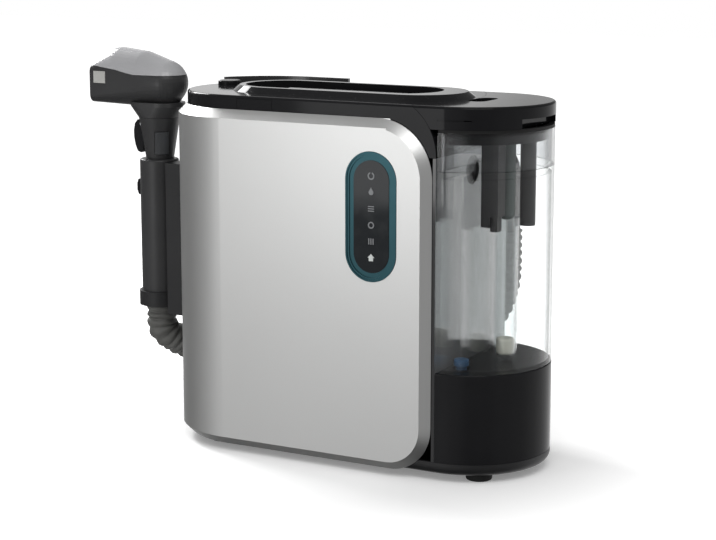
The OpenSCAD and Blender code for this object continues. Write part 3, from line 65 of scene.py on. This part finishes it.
class Wire:
    """An output of a node. Python's operators on it each add one Math node, and return its output."""

    def __init__(self, paint, socket):
        self.paint = paint
        self.socket = socket

    def __add__(self, other):
        return self.paint.sum("ADD", self, other)

    def __sub__(self, other):
        return self.paint.sum("SUBTRACT", self, other)

    def __rsub__(self, other):
        return self.paint.sum("SUBTRACT", other, self)

    def __mul__(self, other):
        return self.paint.sum("MULTIPLY", self, other)

    def __pow__(self, other):
        return self.paint.sum("POWER", self, other)

    def __abs__(self):
        return self.paint.sum("ABSOLUTE", self, 0.0)

    def __gt__(self, other):
        return self.paint.sum("GREATER_THAN", self, other)

    def __lt__(self, other):
        return self.paint.sum("LESS_THAN", self, other)

    __radd__ = __add__
    __rmul__ = __mul__


def colour(value):
    """A grey number, a triple or a wire, as a colour socket takes it."""
    if isinstance(value, Wire):
        return value
    if np.isscalar(value):
        return (value, value, value, 1)
    return (*value, 1)


class Paint:
    """The nodes of one material, or of the world."""

    def __init__(self, owner):
        owner.use_nodes = True
        self.owner = owner
        self.tree = owner.node_tree
        self.tree.nodes.clear()

    def node(self, kind, settings=(), inputs=(), out=0):
        """Adds a node of a kind: first its settings, with a ramp's stops and easing, then its sockets,
        by name or number."""
        made = self.tree.nodes.new(kind)
        for key, value in dict(settings).items():
            if key == "stops":
                elements = made.color_ramp.elements
                while len(elements) < len(value):
                    elements.new(0.5)
                for element, (at, tone) in zip(elements, value):
                    element.position = at
                    element.color = colour(tone)
            elif key == "easing":
                made.color_ramp.interpolation = value
            else:
                setattr(made, key, value)
        for key, value in dict(inputs).items():
            if isinstance(value, Wire):
                self.tree.links.new(value.socket, made.inputs[key])
            else:
                made.inputs[key].default_value = value
        return Wire(self, made.outputs[out])

    def sum(self, operation, first, second):
        """One Math node on two values or wires."""
        return self.node("ShaderNodeMath", {"operation": operation}, {0: first, 1: second})

    def spot(self, scale=(1, 1, 1)):
        """Object coordinates in metres, stretched."""
        at = self.node("ShaderNodeTexCoord", out="Object")
        return self.node("ShaderNodeMapping", {}, {"Vector": at, "Scale": scale})

    def part(self, vector, axis):
        """The X, Y or Z of a vector."""
        return self.node("ShaderNodeSeparateXYZ", {}, {0: vector}, out=axis)

    def faces(self, axis):
        """The X, Y or Z of the way the surface faces."""
        return self.part(self.node("ShaderNodeNewGeometry", out="Normal"), axis)

    def noise(self, waves, detail=3.0, rough=0.5, at=None):
        """Soft noise from 0 to 1, of that many waves to the metre."""
        return self.node("ShaderNodeTexNoise", {}, {"Vector": at or self.spot(), "Scale": waves,
                                                    "Detail": detail, "Roughness": rough})

    def patches(self, waves, start, full, detail=3.0, rough=0.5, at=None):
        """Noise spread into patches: 0 up to start and 1 from full on."""
        return self.ramp(self.noise(waves, detail, rough, at), [(start, 0.0), (full, 1.0)])

    def cells(self, waves, out="Distance", feature="F1"):
        """A pattern of cells, of that many to the metre."""
        return self.node("ShaderNodeTexVoronoi", {"feature": feature},
                         {"Vector": self.spot(), "Scale": waves}, out=out)

    def ramp(self, factor, stops, easing="LINEAR"):
        """A ramp between stops of a place and a tone."""
        return self.node("ShaderNodeValToRGB", {"stops": stops, "easing": easing}, {0: factor})

    def between(self, factor, first, second):
        """A number between two numbers."""
        return self.node("ShaderNodeMix", {"data_type": "FLOAT"}, {0: factor, 2: first, 3: second})

    def mix(self, factor, first, second):
        """A colour between two colours."""
        return self.node("ShaderNodeMix", {"data_type": "RGBA"},
                         {0: factor, 6: colour(first), 7: colour(second)}, out=2)

    def blend(self, factor, first, second):
        """A shader between two shaders."""
        return self.node("ShaderNodeMixShader", {}, {0: factor, 1: first, 2: second})

    def bump(self, height, depth, strength):
        """A normal from a height of 0 to 1 that stands for a depth in metres."""
        return self.node("ShaderNodeBump", {},
                         {"Height": height, "Distance": depth, "Strength": strength})

    def clear(self, tint):
        """A see-through shader of one tint."""
        return self.node("ShaderNodeBsdfTransparent", {}, {"Color": colour(tint)})

    def ray(self, kind):
        """1 for rays of a kind."""
        return self.node("ShaderNodeLightPath", out=kind)

    def looked_at(self):
        """1 for what the camera sees, straight or through clear plastic."""
        return self.sum("MAXIMUM", self.ray("Is Camera Ray"), self.ray("Is Transmission Ray"))

    def close(self, **sockets):
        """Ends with a Principled shader, whose sockets are given by name with _ for a space."""
        return self.end(self.node("ShaderNodeBsdfPrincipled", {}, {
            key.replace("_", " "): colour(value) if "Color" in key else value
            for key, value in sockets.items()}))

    def end(self, shader, kind="ShaderNodeOutputMaterial"):
        """Ends with a shader, and returns the material or the world."""
        out = self.tree.nodes.new(kind)
        self.tree.links.new(shader.socket, out.inputs["Surface"])
        return self.owner


def new_paint(name):
    return Paint(bpy.data.materials.new(name))


# ---------------------------------------------------------------- meshes


def grid_object(name, points, material, wrap=(False, False), smooth=True):
    """A mesh object from a grid of points, with a face of four corners between each four neighbours. Rows
    run along the first axis; a wrapped axis joins its last to its first."""
    points = np.asarray(points, float)
    rows, across = points.shape[:2]
    i = np.arange(rows if wrap[0] else rows - 1)[:, None]
    j = np.arange(across if wrap[1] else across - 1)[None, :]
    i2, j2 = (i + 1) % rows, (j + 1) % across
    faces = np.stack([i * across + j, i * across + j2, i2 * across + j2, i2 * across + j], axis=-1)
    mesh = bpy.data.meshes.new(name)
    mesh.vertices.add(rows * across)
    mesh.vertices.foreach_set("co", np.ascontiguousarray(points, np.float32).ravel())
    mesh.loops.add(faces.size)
    mesh.loops.foreach_set("vertex_index", faces.astype(np.int32).ravel())
    mesh.polygons.add(faces.size // 4)
    mesh.polygons.foreach_set("loop_start", np.arange(0, faces.size, 4, dtype=np.int32))
    mesh.update(calc_edges=True)
    mesh.validate()
    mesh.polygons.foreach_set("use_smooth", np.full(len(mesh.polygons), smooth))
    mesh.materials.append(material)
    made = bpy.data.objects.new(name, mesh)
    bpy.context.scene.collection.objects.link(made)
    return made


# ---------------------------------------------------------------- camera, light and floor

AZIMUTH = math.radians(29.0)
ELEVATION = math.radians(10.65)
TARGET = place([-4.9, 0, 177])
DISTANCE = 1.868
LENS_MM = 96.03
SENSOR_MM = 36
NEAR, FAR = 0.05, 50

# Soft rectangular lamps: place, what it points at, width, height and watts
LAMPS = {
    "front": ((-0.40, -1.30, 0.30), (0.10, 0, 0.18), 0.5, 0.5, 2.3),
    "above": ((0.9, -1.2, 1.9), (0.05, 0, 0.18), 1.3, 1.0, 16),
    "left_rear": ((-1.1, 0.35, 1.0), (0.05, 0, 0.15), 0.5, 0.5, 17),
}

# The even light that every dull surface gets
EVEN_LIGHT = 0.45

# What gloss sees of the room, by compass angle in whole turns: the soft front light before 1/4, the unlit
# studio to the right of it, the white backdrop from 0.6 to 0.85, and the unlit studio to the left
ROOM = [(0.0, 0.14), (0.07, 0.34), (0.14, 0.66), (0.21, 0.90), (0.26, 0.60), (0.32, 0.14), (0.38, 0.20),
        (0.45, 0.50), (0.52, 0.70), (0.60, 1.0), (0.85, 1.0), (0.88, 0.6), (0.91, 0.26), (0.96, 0.12),
        (1.0, 0.16)]

# How much of that is left towards the ground, by how steeply the look goes down. The backdrop behind the
# cleaner, at +Y, keeps its white down to its foot.
GROUND = [(0.0, 1.0), (0.35, 0.93), (0.75, 0.05)]
BACKDROP_REACH = 1.5

# What the level tops see, from the heights where it takes over, and one tone of ceiling over it
HALL = [(0.0, 0.6), (0.5, 0.24), (0.8163, 0.24), (0.829, 1.0), (0.95, 1.0), (1.0, 0.6)]
HALL_HEIGHT = [(0.02, 0.0), (0.15, 1.0)]
CEILING = 0.46
CEILING_HEIGHT = [(0.35, 0.0), (0.75, 1.0)]

# The floor: its drift of tone, and how far it is lifted to white for the camera, by metres from the middle.
# The lift is weaker near the middle, which paints shade on the floor round the cleaner's foot.
FLOOR_HALF = 6.0
FLOOR_TONES = [(0.3, 0.90), (0.7, 0.92)]
FLOOR_LIFT = [(0.22, 0.20), (0.5, 0.80)]

# Enough clear walls in a row for the light that reaches the back of the tank
CLEAR_WALLS = 32


def aim(thing, spot, target):
    """Puts a camera or a lamp at a spot, with its -Z axis towards the target."""
    thing.location = spot
    thing.rotation_mode = "QUATERNION"
    thing.rotation_quaternion = (Vector(target) - Vector(spot)).to_track_quat("-Z", "Y")


def add_camera():
    """The camera stands off the target by the distance, at the azimuth round from -Y towards +X and at
    the elevation over it."""
    data = bpy.data.cameras.new("view")
    data.lens = LENS_MM
    data.sensor_width = SENSOR_MM
    data.clip_start = NEAR
    data.clip_end = FAR
    camera = bpy.data.objects.new("view", data)
    bpy.context.scene.collection.objects.link(camera)
    back = np.array([math.sin(AZIMUTH) * math.cos(ELEVATION), -math.cos(AZIMUTH) * math.cos(ELEVATION),
                     math.sin(ELEVATION)])
    aim(camera, TARGET + back * DISTANCE, TARGET)
    bpy.context.scene.camera = camera


def add_lamp(name, spot, target, width, height, watts):
    data = bpy.data.lights.new(name, "AREA")
    data.shape = "RECTANGLE"
    data.size = width
    data.size_y = height
    data.energy = watts
    lamp = bpy.data.objects.new(name, data)
    bpy.context.scene.collection.objects.link(lamp)
    aim(lamp, spot, target)


def add_world():
    """Even light. The camera and clear plastic see a white room, and gloss sees the room by compass angle,
    turn = atan2(y, x) / 2 pi + 1/2, dimmer towards the ground, then the hall, and the ceiling on top."""
    world = bpy.data.worlds.new("room")
    bpy.context.scene.world = world
    paint = Paint(world)
    way = paint.node("ShaderNodeTexCoord", out="Generated")
    x, y, z = (paint.part(way, axis) for axis in "XYZ")
    turn = paint.sum("ARCTAN2", y, x) * (0.5 / math.pi) + 0.5
    ground = paint.ramp(z * -1.0, GROUND, "EASE")
    ground = paint.sum("MAXIMUM", ground, paint.sum("MINIMUM", y * BACKDROP_REACH, 1.0))
    room = paint.ramp(turn, ROOM, "EASE") * ground
    room = paint.between(paint.ramp(z, HALL_HEIGHT, "EASE"), room, paint.ramp(turn, HALL))
    room = paint.between(paint.ramp(z, CEILING_HEIGHT, "EASE"), room, CEILING)
    strength = paint.between(paint.ray("Is Glossy Ray"), EVEN_LIGHT, room)
    strength = paint.between(paint.looked_at(), strength, 1.0)
    paint.end(paint.node("ShaderNodeBackground", {}, {"Color": colour(1), "Strength": strength}),
              "ShaderNodeOutputWorld")


def add_floor():
    """A wide pale floor that keeps the shadow. Towards the camera it is lifted to the room's white."""
    paint = new_paint("studio_floor")
    shade = paint.node("ShaderNodeBsdfDiffuse", {},
                       {"Color": paint.ramp(paint.noise(3.0, 2.0), FLOOR_TONES)})
    apart = paint.node("ShaderNodeVectorMath", {"operation": "LENGTH"}, {0: paint.spot()}, out="Value")
    # Painted shade: the weaker lift near the middle keeps the floor round the cleaner's foot darker
    lift = paint.ramp(apart, FLOOR_LIFT, "EASE") * paint.looked_at()
    glow = paint.node("ShaderNodeEmission", {}, {"Strength": lift})
    material = paint.end(paint.node("ShaderNodeAddShader", {}, {0: shade, 1: glow}))
    x, y = np.meshgrid([-FLOOR_HALF, FLOOR_HALF], [-FLOOR_HALF, FLOOR_HALF])
    floor = grid_object("studio_floor", np.stack([x, y, np.zeros_like(x)], -1), material, smooth=False)
    floor.visible_glossy = False


bpy.context.scene.view_settings.view_transform = "Standard"
bpy.context.scene.cycles.transparent_max_bounces = CLEAR_WALLS
add_camera()
add_world()
for lamp_name, lamp_facts in LAMPS.items():
    add_lamp(lamp_name, *lamp_facts)
add_floor()

# ---------------------------------------------------------------- finishes

# A normal's X or Z past this counts as facing along that axis
SQUARE_ON = 0.9

# Half way between the lowest icon, which is lit, and the next one up
LIT_BELOW = 0.2156


def moulded(name, low, high, rough, grain=1400, depth=0.00002, specular=0.3):
    """Moulded plastic: a tone that drifts a little, fine grain in the surface, and rubbed patches that
    shine more."""
    paint = new_paint(name)
    rubbed = paint.patches(38, 0.42, 0.68, detail=5.0, rough=0.62)
    pores = paint.noise(grain, 2.0)
    return paint.close(Base_Color=paint.mix(paint.patches(14, 0.3, 0.7), low, high),
                       Roughness=rough + pores * 0.06 - rubbed * 0.05,
                       Normal=paint.bump(pores, depth, 0.6), Specular_IOR_Level=specular)


def polished(name, low, high, rough=0.08, specular=0.09):
    """Gloss plastic: near black, with a faint wave from the mould, hairline rub marks, and a little dust
    where it faces up."""
    paint = new_paint(name)
    marks = paint.patches(1.0, 0.55, 0.7, detail=4.0, rough=0.7, at=paint.spot((900, 40, 900)))
    specks = paint.patches(420, 0.62, 0.72, rough=0.7)
    dust = specks * (paint.faces("Z") > 0.6) * 0.35
    tone = paint.mix(paint.patches(9, 0.3, 0.7, detail=2.0), low, high)
    return paint.close(Base_Color=paint.mix(dust, tone, (0.10, 0.10, 0.098)),
                       Roughness=rough + marks * 0.05 + dust * 0.3,
                       Normal=paint.bump(paint.noise(55, 1.0), 0.00003, 0.25),
                       Specular_IOR_Level=specular)


def bare_metal(name, low, high, rough):
    """Bare metal with turning marks that run round it."""
    paint = new_paint(name)
    marks = paint.noise(1.0, rough=0.6, at=paint.spot((60, 60, 900)))
    return paint.close(Base_Color=paint.mix(marks, low, high), Metallic=1.0, Roughness=rough + marks * 0.12,
                       Normal=paint.bump(marks, 0.00002, 0.3))


def tank_plastic(name, face, rim, bounce, edge=5.0):
    """Clear moulded wall that is looked through without bending, with hazy rubbed patches: its tint goes
    from the face's to the rim's where it is seen edge on, partly for the longer way through the wall and
    partly as painted shade for the light such a wall bends away, and its gloss is
    bounce + (1 - bounce) * facing ^ edge, less on level faces."""
    paint = new_paint(name)
    facing = paint.node("ShaderNodeLayerWeight", {}, {"Blend": 0.5}, out="Facing")
    haze = paint.patches(26, 0.5, 0.85, detail=4.0, rough=0.6)
    # Painted shade: edge on, the tint darkens from the face's to the rim's, partly for the longer way
    # through the wall
    depth = paint.ramp(facing, [(0.0, 0.0), (0.60, 0.03), (0.82, 0.45), (1.0, 1.0)])
    through = paint.blend(depth, paint.clear(face), paint.clear(rim))
    through = paint.blend(haze * 0.05, through, paint.clear((0.72, 0.74, 0.74)))
    gloss = paint.node("ShaderNodeBsdfAnisotropic", {}, {
        "Color": colour(1), "Roughness": 0.04 + haze * 0.06,
        "Normal": paint.bump(paint.noise(30, 1.0), 0.00002, 0.15)})
    level = abs(paint.faces("Z")) > SQUARE_ON
    share = (facing ** edge * (1 - bounce) + bounce) * (1.0 - level * 0.85)
    return paint.end(paint.blend(share, through, gloss))


def satin_silver():
    """Silver lacquer on metal: fine flakes, a drift of tone too slow to see as spots, and a faint orange
    peel."""
    paint = new_paint("silver_shell")
    flake = paint.node("ShaderNodeSeparateColor", {}, {0: paint.cells(3200, out="Color")})
    tone = paint.mix(paint.patches(5, 0.25, 0.75, detail=2.0), (0.560, 0.562, 0.556),
                     (0.590, 0.592, 0.586))
    return paint.close(Base_Color=paint.mix(flake * 0.10, tone, 0.80), Metallic=0.92,
                       Roughness=0.36 + flake * 0.05 + paint.noise(5, 2.0) * 0.02,
                       Normal=paint.bump(paint.noise(420, 2.0), 0.00001, 0.25))


def teal_ring():
    """Teal anodised ring: a fine grain and a slow drift of tone."""
    paint = new_paint("teal_ring")
    fine = paint.noise(1600, 2.0)
    tone = paint.mix(paint.noise(30, 2.0), (0.014, 0.054, 0.066), (0.023, 0.073, 0.088))
    return paint.close(Base_Color=tone, Metallic=0.75, Roughness=0.28 + fine * 0.08,
                       Normal=paint.bump(fine, 0.00001, 0.2))


def panel_glass():
    """Black glass with a faint smear of finger marks."""
    paint = new_paint("panel_glass")
    smear = paint.patches(60, 0.45, 0.8, detail=4.0, rough=0.6)
    tone = paint.mix(smear, (0.009, 0.011, 0.013), (0.013, 0.015, 0.017))
    return paint.close(Base_Color=tone, Roughness=0.07 + smear * 0.1, Specular_IOR_Level=0.18)


def icon_light():
    """Printed icons lit from behind: the lowest one is on, the others only glimmer."""
    paint = new_paint("icon_white")
    lit = paint.part(paint.spot(), "Z") < LIT_BELOW
    tone = paint.mix(lit, (0.16, 0.165, 0.17), (0.45, 0.47, 0.46))
    glow = paint.mix(lit, (0.030, 0.032, 0.035), (0.09, 0.097, 0.094))
    return paint.close(Base_Color=tone, Roughness=0.4 + paint.noise(900, 2.0) * 0.1, Emission_Color=glow,
                       Emission_Strength=1.0)


def board_green():
    """Circuit board lacquer over copper tracks."""
    paint = new_paint("board_green")
    tracks = paint.ramp(paint.cells(260, feature="DISTANCE_TO_EDGE"), [(0.02, 1.0), (0.05, 0.0)])
    tone = paint.mix(tracks, (0.018, 0.110, 0.045), (0.050, 0.190, 0.080))
    return paint.close(Base_Color=tone, Roughness=0.35 + tracks * 0.1,
                       Normal=paint.bump(tracks, 0.00004, 0.5))


def panel_wall():
    """The side panel: gloss black, and on the face into the tank a coat over a painted milky reflection."""
    paint = new_paint("panel_wall")
    inward = paint.faces("X") > SQUARE_ON
    cloud = paint.patches(16, 0.3, 0.7, detail=4.0, rough=0.6)
    # Painted reflection: the milky grey on the inward face paints the light seen on it through the tank
    painted_reflection = paint.mix(cloud, (0.120, 0.124, 0.128), (0.160, 0.164, 0.168))
    return paint.close(Base_Color=paint.mix(inward, (0.011, 0.011, 0.012), painted_reflection),
                       Roughness=0.07 + cloud * 0.05, Specular_IOR_Level=0.5, Coat_Weight=inward,
                       Normal=paint.bump(paint.noise(700, 2.0), 0.000005, 0.1))


def hose_rubber():
    """Dusty rubber: a fine grain, and paler where the dust lies."""
    paint = new_paint("hose_rubber")
    dust = paint.noise(60, 4.0)
    fine = paint.noise(900, 2.0)
    tone = paint.mix(paint.ramp(dust, [(0.35, 0.0), (0.75, 1.0)]), (0.075, 0.075, 0.070),
                     (0.115, 0.115, 0.108))
    return paint.close(Base_Color=tone, Roughness=0.42 + fine * 0.16 + dust * 0.08,
                       Normal=paint.bump(fine, 0.00012, 0.35))


# Finishes by material slot. Moulded plastic has its two tones, its roughness, and then its grain in waves
# to the metre, the grain's depth in metres and its specular level, where these differ from the usual.
MOULDED = {
    "satin_black": ((0.012, 0.012, 0.013), (0.018, 0.018, 0.019), 0.42),
    "dark_cover": ((0.016, 0.016, 0.017), (0.023, 0.023, 0.024), 0.5, 1100, 0.00005),
    "motor_grey": ((0.075, 0.078, 0.082), (0.10, 0.10, 0.105), 0.5),
    "duct_grey": ((0.048, 0.050, 0.053), (0.065, 0.067, 0.070), 0.5),
    "pump_grey": ((0.17, 0.18, 0.19), (0.21, 0.22, 0.23), 0.45),
    "steam_pipe": ((0.62, 0.58, 0.50), (0.70, 0.66, 0.58), 0.4),
    "foot_rubber": ((0.008, 0.008, 0.008), (0.014, 0.014, 0.014), 0.75, 700, 0.00008),
    "tank_gasket": ((0.008, 0.008, 0.008), (0.012, 0.012, 0.012), 0.6),
    "tank_tube_black": ((0.006, 0.006, 0.007), (0.010, 0.010, 0.011), 0.35, 1400, 0.00002, 0.2),
    "tube_grey": ((0.075, 0.092, 0.088), (0.10, 0.12, 0.115), 0.35),
    "valve_blue": ((0.025, 0.085, 0.18), (0.035, 0.105, 0.21), 0.4),
    "float_cream": ((0.70, 0.67, 0.58), (0.78, 0.75, 0.66), 0.45),
    "tool_dark": ((0.027, 0.027, 0.028), (0.037, 0.037, 0.038), 0.36),
    "tool_light": ((0.36, 0.36, 0.37), (0.42, 0.42, 0.43), 0.22, 500, 0.00001),
    "tool_clear": ((0.40, 0.40, 0.38), (0.46, 0.46, 0.44), 0.2, 500, 0.00001),
    "tool_soft": ((0.035, 0.036, 0.037), (0.050, 0.051, 0.052), 0.7, 900, 0.0001),
    "key_grey": ((0.040, 0.042, 0.045), (0.055, 0.057, 0.060), 0.4),
}

# Gloss plastic: its two tones, and its roughness where it isn't the usual
POLISHED = {
    "gloss_black": ((0.009, 0.009, 0.010), (0.013, 0.013, 0.014)),
    "button_black": ((0.008, 0.008, 0.009), (0.012, 0.012, 0.013), 0.25),
}

# Bare metal: its two tones and its roughness
METAL = {
    "rotor_metal": ((0.50, 0.51, 0.52), (0.66, 0.67, 0.68), 0.3),
    "boiler_metal": ((0.42, 0.42, 0.43), (0.58, 0.58, 0.59), 0.42),
    "screw_steel": ((0.42, 0.43, 0.44), (0.58, 0.59, 0.60), 0.28),
    "jet_brass": ((0.55, 0.36, 0.13), (0.72, 0.50, 0.22), 0.25),
}

# The tank's walls: the tints of face and rim, the least gloss, and how soon the gloss grows to the rim.
# The rim's darker tint is partly painted shade.
CLEAR = {
    "tank_clear": ((0.995, 0.997, 0.997), (0.50, 0.52, 0.52), 0.02),
    "tank_smoke": ((0.93, 0.935, 0.94), (0.40, 0.41, 0.41), 0.02),
    "clear_inner": ((0.96, 0.975, 0.975), (0.80, 0.82, 0.82), 0.05, 2.2),
}

FINISHES = {
    **{slot: moulded(slot, *facts) for slot, facts in MOULDED.items()},
    **{slot: polished(slot, *facts) for slot, facts in POLISHED.items()},
    **{slot: bare_metal(slot, *facts) for slot, facts in METAL.items()},
    **{slot: tank_plastic(slot, *facts) for slot, facts in CLEAR.items()},
    "silver_shell": satin_silver(),
    "teal_ring": teal_ring(),
    "panel_glass": panel_glass(),
    "icon_white": icon_light(),
    "board_green": board_green(),
}

# Pieces that shine more, or are clearer or paler, than the others of their slot. The side panel's inner
# face is painted reflection, and the hook's paler tone is partly painted sheen.
OWN_FINISHES = {
    "tank_partition": tank_plastic("partition_clear", (0.985, 0.99, 0.99), (0.6, 0.62, 0.62), 0.015),
    "side_panel": panel_wall(),
    # Partly painted sheen: the hook's tone is paler than the other gloss black, for the shine along its
    # edge
    "upper_hook": polished("hook_gloss", (0.030, 0.030, 0.031), (0.040, 0.040, 0.041), 0.22, 0.8),
    "carry_handle": polished("grip_gloss", (0.016, 0.016, 0.017), (0.022, 0.022, 0.023), 0.2, 0.5),
}

for subpart in frame["record"]["subparts"]:
    finish = OWN_FINISHES.get(subpart["node"], FINISHES.get(subpart["material_slot"]))
    slots = NODES[subpart["node"]].data.materials
    for k in range(len(slots) if finish else 0):
        slots[k] = finish

# ---------------------------------------------------------------- hose

# The hose's middle line round the body's middle, as the model's source has it, and its sizes, in
# millimetres: out of the tool's cuff, round the rear left corner, along the back, and up behind the tank
ROUTE = [
    (-238, 0, 156), (-238, 0, 140), (-238, 0, 124), (-238, 0, 108), (-238, 0, 99), (-236, 2, 92),
    (-232, 8, 86), (-224, 20, 77), (-210, 39, 71), (-189, 62, 69), (-164, 82, 69), (-135, 94, 71),
    (-104, 98, 73), (-60, 98, 74), (-20, 98, 74), (24, 98, 80), (66, 98, 98), (96, 98, 128),
    (107, 98, 156), (109, 98, 178), (109, 98, 196), (109, 98, 212)]
CREST_R = 16.0
VALLEY_R = 13.8
BORE_R = 12.3
RIB_STEP = 7.6

# How round a rib's top is: 1 for an even wave, less for a broader top
RIB_ROUND = 0.62
RINGS_A_RIB = 10
BORE_RINGS = 5
SIDES = 28
BACKWARDS = (0, 1, 0)


def smooth_route(route, fine=16):
    """Points of the uniform Catmull-Rom line through a route: half of
    (2b + (c - a)t + (2a - 5b + 4c - d)t^2 + (3b - a - 3c + d)t^3)."""
    p = np.asarray(route, float)
    p = np.vstack([p[:1], p, p[-1:]])
    t = np.arange(fine)[None, :, None] / fine
    a, b, c, d = (p[k:len(p) - 3 + k, None] for k in range(4))
    line = 0.5 * (2 * b + (c - a) * t + (2 * a - 5 * b + 4 * c - d) * t ** 2
                  + (3 * b - a - 3 * c + d) * t ** 3)
    return np.vstack([line.reshape(-1, 3), p[-1:]])


def ribbed_rings(line):
    """Points of equal step along a line, with a fixed number to each whole rib, and how far each stands
    up its rib: (1/2 + 1/2 cos(2 pi k / rings a rib)) ^ round."""
    gone = np.concatenate([[0], np.cumsum(np.linalg.norm(np.diff(line, axis=0), axis=1))])
    steps = int(gone[-1] // RIB_STEP) * RINGS_A_RIB
    at = np.linspace(0, gone[-1], steps + 1)
    rings = np.stack([np.interp(at, gone, line[:, k]) for k in range(3)], -1)
    return rings, (0.5 + 0.5 * np.cos(2 * np.pi * np.arange(steps + 1) / RINGS_A_RIB)) ** RIB_ROUND


def sweep(line, radius):
    """Rings round a line: the point at angle a is the line's point + radius (cos a side + sin a up), where
    side is square to the line and to the way back, and up is square to both."""
    way = np.gradient(line, axis=0)
    way /= np.linalg.norm(way, axis=1, keepdims=True)
    side = np.cross(way, BACKWARDS)
    side /= np.linalg.norm(side, axis=1, keepdims=True)
    up = np.cross(way, side)
    a = np.linspace(0, 2 * np.pi, SIDES, endpoint=False)[None, :, None]
    radius = np.broadcast_to(np.asarray(radius, float), (len(line),))[:, None, None]
    return line[:, None] + radius * (np.cos(a) * side[:, None] + np.sin(a) * up[:, None])


def make_hose():
    """Ribbed hose: radius = valley + (crest - valley) * rib, and at both ends its skin turns in to the
    bore, which comes back inside it."""
    rings, rib = ribbed_rings(smooth_route(ROUTE))
    outer = sweep(rings, VALLEY_R + (CREST_R - VALLEY_R) * rib)
    inner = sweep(rings[::BORE_RINGS], BORE_R)[::-1]
    hose = grid_object("hose_ribbed", place(np.concatenate([outer, inner])), hose_rubber(),
                       wrap=(True, True))
    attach(hose, "housing")
    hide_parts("hose")


make_hose()
